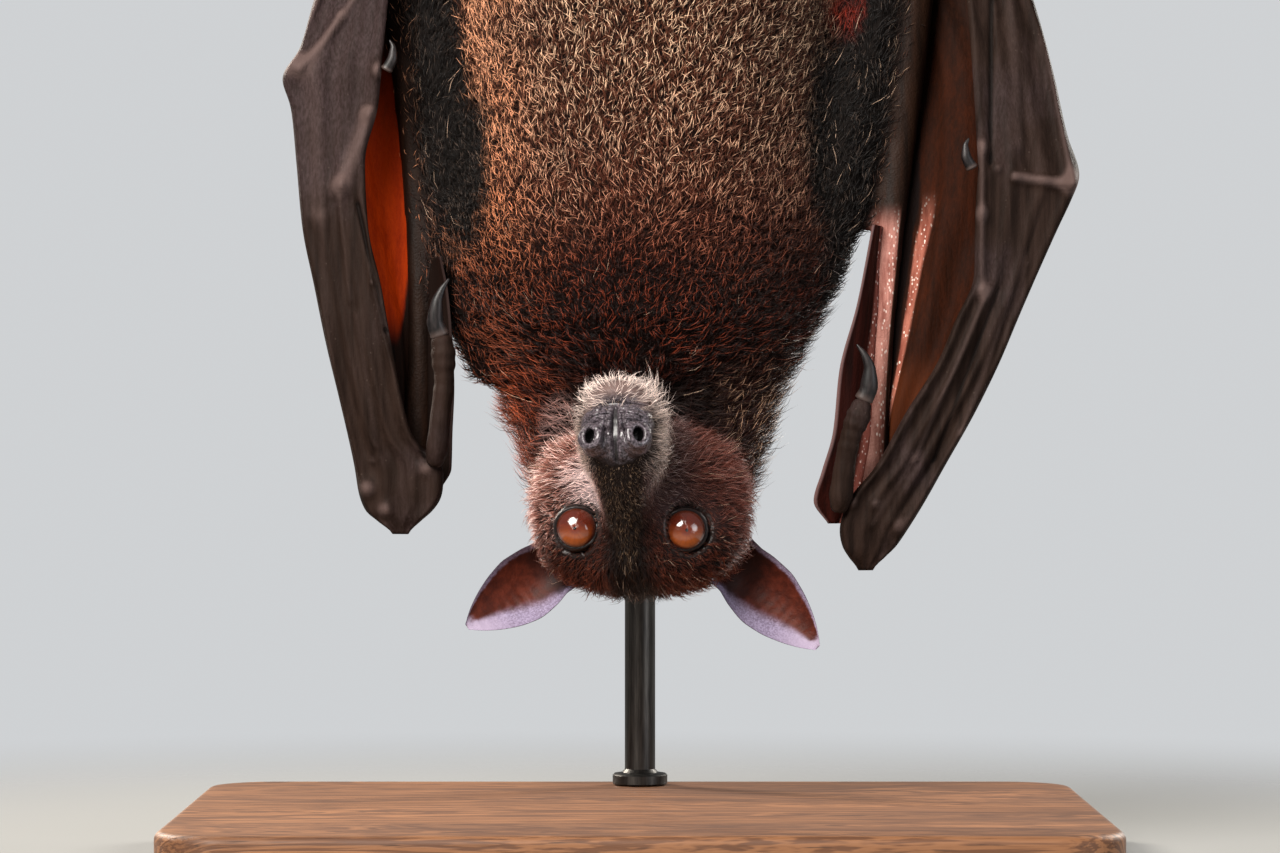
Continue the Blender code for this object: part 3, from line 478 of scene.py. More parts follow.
def cheek_tones(look, tip, lucky, fleck):
    """Rufous with pale tips, pinkish fuzz beside the muzzle on the left, paler and pinker there by a painted
    sheen, darker on the right.
    """
    _, s, _ = head_axes(look)
    # painted sheen: on the left the shafts, pale tips and fuzz lighter and pinker
    left = s.rise(4, -8)
    shaft = look.mix(left, (96, 50, 38), (178, 118, 104))
    cheek = look.fade(tip, 0.1, 0.7, (28, 12, 9), shaft)
    pale = look.mix(left, (186, 164, 160), (255, 234, 230))
    cheek = look.fade(tip * lucky, 0.5, 0.95, cheek, pale)
    outer = (abs(s) + fleck * 8).rise(19, 27)
    cheek = look.mix((1 - left) * 0.45, cheek, (84, 64, 64))
    rufous = look.fade(tip, 0.1, 0.8, (30, 11, 7), (112, 48, 28))
    cheek = look.mix(outer * (0.7 - left * 0.5), cheek, rufous)
    fuzz = left * look.reach(head_spot(16, -15, -13), (18, 13, 13)).rise(1.2, 0.6)
    return look.mix(fuzz * tip.rise(0, 0.35) * 0.95, cheek, (255, 230, 230))


def head_tones(look, tip, lucky, fleck):
    """A dark forehead between rufous brows, a brown bridge, grey and cream round the mouth."""
    f, s, u = head_axes(look)
    streak = abs(s + fleck * 5 - 2.5).rise(3.5, 10)
    warm_brow = look.mix(streak, (24, 13, 7), (98, 42, 24))
    brow = look.fade(tip, 0.15, 0.85, (20, 10, 8), warm_brow)
    brow = look.mix((tip * lucky).rise(0.8, 1.2) * (0.3 + streak * 0.7), brow, (168, 112, 82))
    head = look.fade(u + f * 0.1, -6, 6, cheek_tones(look, tip, lucky, fleck), brow)
    bridge = look.fade(tip, 0.2, 1.0, (20, 13, 10), (74, 54, 40))
    bridge = look.fade(tip * lucky, 0.55, 0.95, bridge, (164, 136, 108))
    on_bridge = (abs(s) - f * 0.22 + fleck * 3).rise(4.4, 0.6) * f.rise(0, 12) * u.rise(-20, -12)
    head = look.mix(on_bridge, head, bridge)
    grey = look.fade(tip, 0.1, 0.9, (26, 20, 18), (96, 82, 74))
    grey = look.fade(tip * lucky, 0.4, 0.9, grey, (186, 166, 154))
    head = look.mix(f.rise(26, 34) * u.rise(-12, -18), head, grey)
    beside = (abs(s) + fleck * 2).rise(6.5, 9) * f.rise(4, 18) * f.rise(44, 38) * u.rise(-4, -10)
    side_fuzz = look.fade(tip, 0.15, 0.8, (40, 32, 30), (196, 176, 166))
    head = look.mix(beside * (0.35 + f.rise(16, 28) * 0.5), head, side_fuzz)
    cream = look.fade(tip, 0.05, 0.5, (84, 62, 58), (246, 226, 218))
    return look.mix((u + fleck * 3).rise(-19, -26) * f.rise(12, 24), head, cream)


def coat_tones(look, tip, luck):
    """The coat's markings, with painted light and shade, the same on the skin and on each tuft.

    Tip runs from 0 at the root to 1, and long guard hairs have luck over 1.
    """
    z = look.along((0, 0, 1))
    patch = look.noise(0.045, 3, 0.6)
    fleck = look.noise(0.35, 2, 0.6)
    lucky = luck + fleck * 0.6
    # arms, legs and the hollows beside the trunk: charcoal with a few grey tips; in the hollows the dark is
    # partly fur and partly painted shade
    charcoal = look.fade(tip * lucky, 0.7, 1.15, (15, 10, 8), (92, 78, 70))
    hollows = [((-55, -8, 216), (9, 40, 26)), ((60, -8, 224), (8.5, 40, 32))]
    pits = [(look.reach(*at) + patch + fleck * 1.1).rise(2.45, 1.75) for at in hollows]
    trunk = look.mix(pits[0] + pits[1], trunk_tones(look, tip, lucky, patch), charcoal)
    body = look.fade(z + patch * 16, 170, 154, trunk, ruff_tones(look, tip, lucky, patch, fleck))
    behind = (look.along(NECK_CUT_N, NECK_CUT_AT) + fleck * 4).rise(-3, 5)
    whole = look.mix(behind, head_tones(look, tip, lucky, fleck), body)
    limb = look.stored("limb") * (z + patch * 20).rise(168, 196)
    whole = look.mix(limb, whole, charcoal)
    # an orange-red patch high on the right flank, and pale roots on the guard hairs
    blush = (look.reach((64, -8, 266), (8, 24, 14)) + patch + fleck * 0.5).rise(1.8, 0.9)
    whole = look.mix(blush * tip.rise(0, 0.5), whole, (138, 34, 14))
    return look.mix(luck.rise(1, 1.1) * tip.rise(0, 0.3), whole, (176, 150, 130))


def soft_min(a, b, blend):
    """The lower of two reaches, rounded where they meet."""
    h = np.clip(0.5 + 0.5 * (b - a) / blend, 0, 1)
    return b + (a - b) * h - blend * h * (1 - h)


def soft_max(a, b, blend):
    return -soft_min(-a, -b, blend)


def rise(value, low, high):
    """0 up to low, 1 from high, and a soft rise between."""
    t = np.clip((value - low) / (high - low), 0, 1)
    return t * t * (3 - 2 * t)


def ripple(points, seed=0):
    """Smooth noise from -1 to 1, with one swell to each unit."""
    spin = np.linalg.qr(np.random.default_rng(seed + 90).normal(size=(3, 3)))[0]
    points = np.asarray(points, float) @ spin + 50.3
    base = np.floor(points)
    t = points - base
    t, base = t * t * (3 - 2 * t), base.astype(np.int64)
    total = np.zeros(len(points))
    for corner in product((0, 1), repeat=3):
        c = base + np.array(corner)
        mixed = (c[:, 0] * 73856093) ^ (c[:, 1] * 19349663) ^ (c[:, 2] * 83492791) ^ (seed * 2654435761)
        mixed = (mixed ^ (mixed >> 13)) * 1274126177
        value = ((mixed ^ (mixed >> 16)) & 0xFFFF) / 32767.5 - 1
        total += np.prod(np.where(np.array(corner) == 1, t, 1 - t), axis=1) * value
    return total


def ball_reach(v, centre, sizes):
    """Distance outside a ball or an egg, less than 0 inside."""
    w = (v - np.asarray(centre)) / np.asarray(sizes)
    length = lengths(w)
    return (length - 1) * length / np.maximum(lengths(w / np.asarray(sizes)), 1e-6)


def rod_reach(points, rows):
    """Distance outside a rod of x, y, z, radius."""
    best = np.full(len(points), 1e9)
    rows = np.asarray(rows, float)
    for a, b in zip(rows[:-1], rows[1:]):
        way = b[:3] - a[:3]
        t = np.clip((points - a[:3]) @ way / way.dot(way), 0, 1)
        gap = lengths(points - a[:3] - t[:, None] * way)
        best = np.minimum(best, gap - a[3] - t * (b[3] - a[3]))
    return best


def ring_reach(v, centre, axis, major, minor):
    """Distance outside a ring of round section."""
    w = v - np.asarray(centre)
    high = w @ axis
    wide = lengths(w - high[:, None] * axis) - major
    return np.hypot(high, wide) - minor


def oval_reach(x, y, half, top, bottom, power):
    """Distance outside a rounded oval, measured from its middle outwards."""
    deep = np.where(y > 0, top, bottom)
    grown = (np.abs(x / half) ** power + np.abs(y / deep) ** power) ** (1 / power)
    return np.hypot(x, y) * (1 - 1 / np.maximum(grown, 1e-3))


def with_ends(reach, place, rows):
    """A reach round a body, measured past its first and last row as well."""
    past = np.maximum(rows[0][0] - place, place - rows[-1][0])
    return np.where(past > 0, np.hypot(np.maximum(reach, 0), past), reach)


def trunk_reach(p):
    r = between(TRUNK, p[:, 2])
    side = oval_reach(p[:, 0] - r[:, 0], p[:, 1] - 8, r[:, 1], r[:, 3] - 8, 8 - r[:, 2], 2.25)
    return with_ends(side, p[:, 2], TRUNK)


def neck_reach(p):
    y, half, front, back = between(NECK, p[:, 2]).T
    side = oval_reach(p[:, 0] - 0.9, p[:, 1] - y, half, back, front, 2.2)
    return with_ends(side, p[:, 2], NECK)


HEAD_F = unit(HEAD_F)
HEAD_U = unit(HEAD_U - HEAD_F * HEAD_U.dot(HEAD_F))
SIDE = np.cross(HEAD_U, HEAD_F)
SIDE = SIDE if SIDE[0] > 0 else -SIDE
HEAD_WAYS = np.stack([HEAD_F, SIDE, HEAD_U], axis=1)
# along F, how deep the coat is at the crown, at the cheeks and throat
HEAD_COAT = [
    (-45, 5, 6), (-25, 4.2, 6), (-10, 3.6, 5.4), (0, 3, 5), (8, 1.8, 4.4), (16, 1, 3.4), (26, 0.7, 2),
    (34, 0.4, 1.2), (45, 0.2, 0.6),
]


# where each eye looks, how far its lids open as an angle, its inner corner from its centre
GAZE = {side: unit([0.10 * way, -0.98, 0.0]) for side, way in WAYS.items()}
LID_OPEN = 0.95
CORNER = {side: np.array([-7.4 * way, -3.6, 3.9]) for side, way in WAYS.items()}
# the right nostril and the way it opens, in the head's own frame
NOSTRIL = np.array([43.2, 7.0, -13.2])
NOSTRIL_WAY = unit([0.90, 0.42, 0.05])
# where each lip crease starts, towards the crown, its slope and its depth
LIP_CREASES = [(-17.6, -0.10, 0.8), (-20.9, 0.16, 0.8), (-19.4, 0.03, 0.45), (-22.6, 0.10, 0.5)]
# the box round the nose in the head's own frame, and the size of its cells
NOSE_BOX = ((26.6, -13, -37), (48.5, 13, -3))
NOSE_CELL = 0.30


def head_spot(f, s, u):
    """A place in the world from one in the head's own frame."""
    return HEAD_AT + f * HEAD_F + s * SIDE + u * HEAD_U


def head_local(p):
    """Places in the head's own frame: forward, sideways, towards the crown."""
    return (p - HEAD_AT) @ HEAD_WAYS


def behind_head(p):
    """How far places lie behind the cut between head and neck, less than 0 in the head."""
    return (p - NECK_CUT_AT) @ unit(NECK_CUT_N)


def skull_reach(p):
    """Distance outside the head with its coat."""
    f, s, u = head_local(p).T
    shift, half, top, bottom, power = between(HEAD, f).T
    middle = (top - bottom) / 2
    d = oval_reach(s - shift, u - middle, half, top - middle, middle + bottom, power)
    return with_ends(d, f, HEAD)


def head_coat(f, u):
    crown, cheek = between(HEAD_COAT, f).T
    return crown + (cheek - crown) * rise(u, 2, -16)


def head_reach(p):
    """Distance outside the bare head: skull, muzzle and brows. The nose and lids come on top."""
    v = head_local(p)
    f, _, u = v.T
    d = skull_bare(v)
    for side, at in EYES.items():
        d = soft_min(d, ball_reach(p, at - GAZE[side] * 2.0, (8.6, 8.6, 8.6)), 3.5)
    d = soft_min(d, ball_reach(v, (33.8, 0.0, -28.6), (8.0, 8.0, 4.6)), 1.4)
    d = d + 0.6 * rise(f, 33.5, 36.5) * rise(u, -27.5, -25.5)
    d = d + 0.08 * ripple(v * 0.8, 7) * rise(f, 12, 20)
    for at in EYES.values():
        d = np.maximum(d, EYE_RADIUS - 0.3 - lengths(p - at))
    return d


def skull_bare(v):
    """Distance outside the skull under its coat, in the head's own frame."""
    f, s, u = v.T
    shift, half, top, bottom, power = between(HEAD, f).T
    thin = head_coat(f, u)
    top = top - 2.4 * rise(f, 24, 37)
    middle = (top - bottom) / 2
    d = oval_reach(s - shift, u - middle, half - thin, top - middle - thin, middle + bottom - thin, power)
    return soft_max(d, f - 41.2 + 0.014 * (s * s + (u + 16) ** 2), 5.0)


def nose_reach(v):
    """Distance outside the bare nose, lips and chin, in the head's own frame."""
    f, s, u = v.T
    way = np.abs(s)
    mirrored = np.stack([f, way, u], axis=1)
    d = skull_bare(v)
    # lips and chin
    d = soft_min(d, ball_reach(mirrored, (36.2, 4.6, -19.6), (6.9, 5.0, 5.0)), 1.8)
    d = soft_min(d, ball_reach(mirrored, (41.2, 2.9, -18.2), (3.0, 2.6, 2.8)), 0.9)
    d = soft_min(d, ball_reach(v, (33.8, 0.0, -28.6), (8.4, 8.4, 5.0)), 1.4)
    # nose pads: each a short fat ring round the nostril, then the pit
    d = soft_min(d, ball_reach(mirrored, (39.2, 6.3, -13.4), (5.4, 4.4, 4.8)), 1.2)
    d = soft_min(d, ring_reach(mirrored, NOSTRIL - NOSTRIL_WAY * 0.2, NOSTRIL_WAY, 2.7, 1.5), 0.9)
    w = mirrored - NOSTRIL
    high = w @ NOSTRIL_WAY
    tall = w[:, 2]
    wide = np.sqrt(np.maximum((w * w).sum(1) - high**2 - tall**2, 0))
    hole = ball_reach(np.stack([high, wide, tall], 1), (0.6, 0, 0), (3.2, 1.7, 2.3))
    d = soft_max(d, -hole, 0.6)
    d = soft_min(d, ball_reach(mirrored, NOSTRIL + (-0.2, -1.0, 1.2), (0.9, 1.1, 1.2)), 0.7)
    # groove between the nostrils with a ridge to either side, creases fanning out over the lip
    ahead = rise(f, 33, 39)
    tall = rise(u, -24.5, -21) * (1 - rise(u, -9, -7))
    d = d + 1.9 * np.exp(-((s / 0.55) ** 2)) * tall * ahead
    d = d - 0.45 * np.exp(-(((way - 1.5) / 0.6) ** 2)) * tall * ahead
    beside = rise(u, -21, -19) * (1 - rise(u, -12, -10)) * ahead
    d = d + 0.7 * np.exp(-(((way - 2.75 - 0.12 * (u + 17)) / 0.38) ** 2)) * beside
    wave = 0.35 * ripple(np.stack([way * 0.5, 0 * u, 0 * f], 1), 5)
    for start, slope, depth in LIP_CREASES:
        line = np.exp(-(((u - start - slope * way - wave) / 0.36) ** 2))
        d = d + depth * line * rise(way, 0.7, 1.8) * (1 - rise(way, 7.5, 9.5)) * rise(f, 32, 37)
    slit = -24.6 + 0.035 * way**1.5 - 0.16 * np.maximum(40 - f, 0) * rise(way, 2, 9)
    d = d + 1.7 * rise(f, 16, 26) * np.exp(-(((u - slit) / 0.6) ** 2))
    bare = rise(u, -27, -24)
    d = d + bare * (0.14 * ripple(v * 0.6, 8) + 0.06 * ripple(v * 1.4, 9))
    d = d + 0.7 * rise(f, 35.5, 31.5) * rise(u, -28.5, -26.5) - 0.15 * rise(u, -26.5, -28.5)
    return np.maximum(d, 27.5 - f)


def surface_nets(reach, low, high, step):
    """A closed mesh of the surface where the reach is 0: one point in each grid cell it crosses."""
    axes = [np.arange(a, b, step) for a, b in zip(low, high)]
    grid = np.stack(np.meshgrid(*axes, indexing="ij"), axis=-1)
    shape = grid.shape[:3]
    value = reach(grid.reshape(-1, 3)).reshape(shape)
    inner = tuple(n - 1 for n in shape)
    total, count = np.zeros((*inner, 3)), np.zeros(inner)
    corners = list(product((0, 1), repeat=3))

    def corner(c):
        return value[c[0]:c[0] + inner[0], c[1]:c[1] + inner[1], c[2]:c[2] + inner[2]]

    for a, b in product(corners, corners):
        if sum(b) - sum(a) == 1 and all(j >= i for i, j in zip(a, b)):
            va, vb = corner(a), corner(b)
            crossed = (va < 0) != (vb < 0)
            share = np.where(crossed, va / np.where(crossed, va - vb, 1), 0)
            spot = np.array(a) + share[..., None] * (np.array(b) - np.array(a))
            total += spot * crossed[..., None]
            count += crossed
    used = count > 0
    place = np.full(inner, -1)
    place[used] = np.arange(int(used.sum()))
    points = (np.argwhere(used) + total[used] / count[used][:, None]) * step + [a[0] for a in axes]
    faces = []
    for axis in range(3):
        o1, o2 = (axis + 1) % 3, (axis + 2) % 3
        first = np.moveaxis(value, (axis, o1, o2), (0, 1, 2))
        cells = np.moveaxis(place, (axis, o1, o2), (0, 1, 2))
        va, vb = first[:-1, 1:-1, 1:-1], first[1:, 1:-1, 1:-1]
        quad = np.stack([cells[:, :-1, :-1], cells[:, 1:, :-1], cells[:, 1:, 1:], cells[:, :-1, 1:]], -1)
        faces += [quad[(va < 0) & (vb >= 0)], quad[(va >= 0) & (vb < 0)][:, ::-1]]
    return points, np.vstack(faces)


def slope_of(reach, p, step):
    """How fast a reach grows along x, y and z."""
    return np.stack([(reach(p + e) - reach(p - e)) / (2 * step) for e in np.eye(3) * step], axis=1)


def settle_on(p, reach, links, steps):
    """Moves points onto the surface where the reach is 0, and spreads them evenly along it."""
    for step in range(steps):
        d = reach(p)
        slope = slope_of(reach, p, 0.15)
        steep = (slope**2).sum(1)
        p = p + np.clip(-d / np.maximum(steep, 0.25), -1.2, 1.2)[:, None] * slope
        if step < steps - 2:
            move = links.mean(p) - p
            normal = slope / np.sqrt(np.maximum(steep, 1e-6))[:, None]
            p = p + 0.35 * (move - (move * normal).sum(1)[:, None] * normal)
    return p


class Links:
    """Which points of a mesh an edge joins."""

    def __init__(self, mesh):
        self.count = len(mesh.vertices)
        edges = np.zeros(len(mesh.edges) * 2, np.int32)
        mesh.edges.foreach_get("vertices", edges)
        a, b = edges.reshape(-1, 2).T
        self.a, self.b = np.concatenate([a, b]), np.concatenate([b, a])
        self.many = np.maximum(np.bincount(self.a, minlength=self.count), 1)

    def mean(self, values):
        values = np.asarray(values, float)
        columns = values.reshape(self.count, -1).T
        sums = [np.bincount(self.a, weights=c[self.b], minlength=self.count) for c in columns]
        return (np.stack(sums, 1) / self.many[:, None]).reshape(values.shape)

    def calm(self, values, times, share=0.5):
        """Evens values out over the surface; share may be one number or one for each point."""
        share = np.asarray(share, float)
        share = share[:, None] if share.ndim and np.ndim(values) > 1 else share
        for _ in range(times):
            values = values + share * (self.mean(values) - values)
        return values


def points_of(mesh):
    co = np.zeros(len(mesh.vertices) * 3)
    mesh.vertices.foreach_get("co", co)
    return co.reshape(-1, 3) / MM


def normals_of(mesh):
    out = np.zeros(len(mesh.vertices) * 3, np.float32)
    mesh.vertex_normals.foreach_get("vector", out)
    return out.reshape(-1, 3).astype(float)


def triangles_of(mesh):
    mesh.calc_loop_triangles()
    tri = np.zeros(len(mesh.loop_triangles) * 3, np.int32)
    mesh.loop_triangles.foreach_get("vertices", tri)
    return tri.reshape(-1, 3)


def move_to(mesh, points):
    mesh.vertices.foreach_set("co", (np.asarray(points) * MM).astype(np.float32).ravel())
    mesh.update()


def mesh_of(name, points, faces, smooth=True):
    """A mesh object from points in millimetres and faces of one kind, three or four corners each."""
    mesh = bpy.data.meshes.new(name)
    faces = np.asarray(faces, np.int32)
    corners = faces.shape[1]
    mesh.vertices.add(len(points))
    mesh.vertices.foreach_set("co", (np.asarray(points) * MM).astype(np.float32).ravel())
    mesh.loops.add(faces.size)
    mesh.loops.foreach_set("vertex_index", faces.ravel())
    mesh.polygons.add(len(faces))
    mesh.polygons.foreach_set("loop_start", np.arange(0, faces.size, corners, dtype=np.int32))
    mesh.polygons.foreach_set("use_smooth", np.full(len(faces), smooth))
    mesh.update(calc_edges=True)
    made = bpy.data.objects.new(name, mesh)
    bpy.context.scene.collection.objects.link(made)
    return made


def keep(mesh, name, values):
    """Stores a number for each point with the mesh."""
    stored = mesh.attributes.new(name, "FLOAT", "POINT")
    stored.data.foreach_set("value", np.asarray(values, np.float32))


def tube(rings, first=None, last=None):
    """Points and faces over rings of equal, even count, closed at each end that has a point."""
    rings = np.asarray(rings, float)
    rows, count = rings.shape[:2]
    points = rings.reshape(-1, 3)
    i, r = np.meshgrid(np.arange(count), np.arange(rows - 1))
    i, r = i.ravel(), r.ravel()
    j = (i + 1) % count
    faces = [np.stack([r * count + i, r * count + j, (r + 1) * count + j, (r + 1) * count + i], 1)]
    k = np.arange(0, count, 2)
    for end, start, turn in ((first, 0, -1), (last, (rows - 1) * count, 1)):
        if end is None:
            continue
        points = np.vstack([points, [end]])
        middle = np.full(len(k), len(points) - 1)
        fan = np.stack([middle, start + k, start + k + 1, start + (k + 2) % count], 1)
        faces.append(fan[:, ::turn])
    return points, np.vstack(faces)


def outward(made):
    """Turns the faces of a closed mesh outwards."""
    shape = bmesh.new()
    shape.from_mesh(made.data)
    if shape.calc_volume(signed=True) < 0:
        bmesh.ops.reverse_faces(shape, faces=shape.faces)
        shape.to_mesh(made.data)
    shape.free()
    return made


def new_piece(name, points, faces, material):
    made = outward(mesh_of(name, points, faces))
    made.data.materials.append(material)
    return made


def finer_rod(rows, points):
    """Rows of x, y, z, radius resampled evenly along their length."""
    rows = np.asarray(rows, float)
    reach = np.concatenate([[0], np.cumsum(lengths(np.diff(rows[:, :3], axis=0)))])
    return stations(np.hstack([reach[:, None], rows]), points)[:, 1:]


LIMBS = ("upper_arm", "forearm", "thigh", "shank")
BODY = ["trunk", "neck", "head"] + [f"{limb}_{side}" for limb in LIMBS for side in SIDES]
# how far the nodes are swollen before they are joined, and the size of the joined skin's cells
SWELL = 0.5
SKIN_CELL = 1.6


def mirror(side):
    """Turns rows of x, y, z, radius to a side."""
    return np.array([WAYS[side], 1, 1, 1])


class Regions:
    """How much each point belongs to the head, the torso and each limb."""

    def __init__(self, p):
        behind = behind_head(p)
        torso = np.where(behind < 0, skull_reach(p), np.minimum(trunk_reach(p), neck_reach(p)))
        gaps = {"torso": torso}
        for side in SIDES:
            leg = finer_rod(np.array(LEG) * mirror(side), 14)
            rods = {
                "upper_arm": above_crown(UPPER_ARM[side]),
                "forearm": above_crown(FOREARM[side]),
                "thigh": leg[leg[:, 2] < KNEE_Z + 6],
                "shank": leg[leg[:, 2] > KNEE_Z - 6],
            }
            for name, rows in rods.items():
                gap = rod_reach(p, rows)
                gaps[name] = np.minimum(gaps.get(name, 1e9), gap)
        names = list(gaps)
        table = np.stack([gaps[n] for n in names], 1)
        table[:, 0] += 0.8
        share = np.exp(-(table - table.min(1)[:, None]) / 1.0)
        share /= share.sum(1)[:, None]
        self.share = dict(zip(names, share.T))
        self.head = rise(behind, 4, -8)


def coat_depth(p, part):
    """How deep the coat lies over the skin."""
    f, _, u = head_local(p).T
    torso = 5.4 + (7.0 - 5.4) * rise(p[:, 2], 172, 150)
    torso = torso + (head_coat(f, u) - torso) * part.head
    depth = {"upper_arm": 2.2, "forearm": 0.0, "thigh": 3.2, "shank": 1.5}
    return part.share["torso"] * torso + sum(part.share[n] * d for n, d in depth.items())


def fine_face(mesh, choose, times):
    """Halves the edges of the chosen part of the mesh."""
    for _ in range(times):
        shape = bmesh.new()
        shape.from_mesh(mesh)
        shape.verts.ensure_lookup_table()
        wanted = choose(points_of(mesh))
        edges = [e for e in shape.edges if wanted[e.verts[0].index] and wanted[e.verts[1].index]]
        bmesh.ops.subdivide_edges(shape, edges=edges, cuts=1, use_grid_fill=True)
        bmesh.ops.triangulate(shape, faces=[f for f in shape.faces if len(f.verts) > 4])
        shape.to_mesh(mesh)
        shape.free()


def make_body(nodes):
    """The flesh as one closed skin: the nodes joined, smoothed, drawn in, and the face carved."""
    points, faces, start = [], [], 0
    for name in BODY:
        mesh = nodes[name].data
        points.append(points_of(mesh) + normals_of(mesh) * SWELL)
        faces.append(triangles_of(mesh) + start)
        start += len(mesh.vertices)
    rough = mesh_of("rough", np.vstack(points), np.vstack(faces), False)
    step = rough.modifiers.new("whole", "REMESH")
    step.mode, step.voxel_size = "VOXEL", SKIN_CELL * MM
    graph = bpy.context.evaluated_depsgraph_get()
    mesh = bpy.data.meshes.new_from_object(rough.evaluated_get(graph))
    bpy.data.objects.remove(rough)
    links = Links(mesh)
    p = points_of(mesh)
    part = Regions(p)
    torso = part.share["torso"]
    ahead = head_local(p)[:, 0]
    calm = np.where(part.head > 0.5, 0.3 * rise(ahead, 22, 2), 0.5) * torso**2
    p = links.calm(p, 45, calm)
    p = links.calm(p, 3)
    move_to(mesh, p)
    depth = links.calm(coat_depth(p, part), 10) + SWELL * 0.7
    for _ in range(2):
        p = links.calm(p - normals_of(mesh) * depth[:, None] * 0.5, 2)
        move_to(mesh, p)

    def by_eye(q, reach):
        return np.minimum(*[lengths(q - at) for at in EYES.values()]) < reach

    def in_head(q):
        return behind_head(q) < -4

    # the muzzle and the eyes, then the lids alone: where to halve the edges, rounds of carving
    zones = [(lambda q: (head_local(q)[:, 0] > 6) | by_eye(q, 15), 6), (lambda q: by_eye(q, 11), 4)]
    for zone, steps in zones:
        fine_face(mesh, lambda q: in_head(q) & zone(q), 1)
        links, p = Links(mesh), points_of(mesh)
        share = rise(head_local(p)[:, 0], -16, -4) * in_head(p)
        near = np.flatnonzero(share > 0)
        carved = settle_on(p[near], head_reach, Part(links, near), steps)
        p[near] += (carved - p[near]) * share[near][:, None]
        edge = (share > 0) & (share < 1)
        p = links.calm(p, 4, 0.4 * edge)
        move_to(mesh, p)
    return mesh


def make_nose():
    """Nose, lips and chin in one piece, fine enough for their creases."""
    points, faces = surface_nets(nose_reach, *NOSE_BOX, NOSE_CELL)
    rough = mesh_of("rough_nose", points, faces, False)
    links = Links(rough.data)
    bpy.data.objects.remove(rough)
    for _ in range(2):
        points = links.calm(points, 1, 0.5)
        slope = slope_of(nose_reach, points, 0.1)
        move = nose_reach(points) / np.maximum((slope**2).sum(1), 0.3)
        points = points - np.clip(move, -0.2, 0.2)[:, None] * slope
    return HEAD_AT + points @ HEAD_WAYS.T, faces


def round_gaze(side, turn):
    """Directions across the way an eye looks, one for each angle."""
    right = unit(np.cross(GAZE[side], (0, 0, 1)))
    up = np.cross(right, GAZE[side])
    return np.cos(turn)[:, None] * right + np.sin(turn)[:, None] * up


# angle past the opening, radius, how much it is wrinkled
LID_ROWS = [
    (-0.05, 6.9, 0), (0.0, 7.36, 0), (0.02, 7.62, 0), (0.045, 7.76, 0.3), (0.08, 7.80, 0.6),
    (0.12, 7.72, 1), (0.15, 7.58, 1), (0.18, 7.52, 1), (0.22, 7.60, 1), (0.26, 7.56, 1),
    (0.31, 7.42, 1), (0.36, 7.34, 1), (0.42, 7.34, 1), (0.50, 7.26, 1), (0.58, 7.16, 1),
    (0.68, 7.08, 1), (0.80, 7.0, 1), (0.98, 6.8, 0.5),
]


def make_lids(side):
    """A lid all round each eye: a wet rim on the ball, a soft roll, creases that sink into the face."""
    gaze, count = GAZE[side], 150
    turn = np.linspace(0, 2 * math.pi, count, endpoint=False)
    ring = round_gaze(side, turn)
    nook = unit(CORNER[side] - gaze * CORNER[side].dot(gaze))
    towards = np.arccos(np.clip(ring @ nook, -1, 1))
    open_to = LID_OPEN + 0.02 * np.cos(2 * turn) + 0.22 * np.exp(-((towards / 0.24) ** 2))
    rings = []
    rows = [(i, *row) for i, row in enumerate(LID_ROWS)]
    for past, reach, rough in between(rows, np.linspace(0, len(rows) - 1, 40)):
        at = np.stack([ring[:, 0] * 1.6, ring[:, 2] * 1.6, 0 * turn + past * 2], 1)
        polar = open_to + past * (1 + 0.25 * ripple(at, 31))
        spot = np.cos(polar)[:, None] * gaze + np.sin(polar)[:, None] * ring
        more = rough * (0.12 * ripple(spot * (5, 5, 5), 33) + 0.07 * ripple(spot * 13, 35))
        rings.append(EYES[side] + spot * (reach + more)[:, None])
    points, faces = tube(rings)
    i = np.arange(count)
    j, last = (i + 1) % count, (len(rings) - 1) * count
    return points, np.vstack([faces, np.stack([last + i, last + j, j, i], 1)])


class Part:
    """The links of some of a mesh's points, the others held still."""

    def __init__(self, links, chosen):
        place = np.full(links.count, -1)
        place[chosen] = np.arange(len(chosen))
        inside = (place[links.a] >= 0) & (place[links.b] >= 0)
        self.a, self.b = place[links.a[inside]], place[links.b[inside]]
        self.count = len(chosen)
        self.many = np.maximum(np.bincount(self.a, minlength=self.count), 1)

    mean, calm = Links.mean, Links.calm


# The wings' relief: x, height above the crown, how far it stands out, radius
KNOBS = {
    "left": [
        (-106.3, 165, 2.4, 3.6), (-83, 149.4, 1.4, 2.4), (-91.2, 127.7, 1.6, 2.2),
        (-83.5, 35, 1.4, 2.6), (-78.2, 28.5, 1.3, 2.4), (-81.8, 43.7, 0.7, 1.6), (-65.5, 41, 1.2, 2.2),
        (-79.5, 163, 1.6, 2.6),
    ],
    "right": [
        (133, 128.6, 2.4, 3.6), (104.4, 139.5, 1.6, 2.4), (104.3, 119, 1.3, 2.2), (105, 95, 1.5, 2.4),
        (109.5, 133, 0.8, 1.6), (64.5, 31, 1.2, 2), (72, 30.5, 0.9, 1.8), (79, 24, 1, 3),
    ],
}
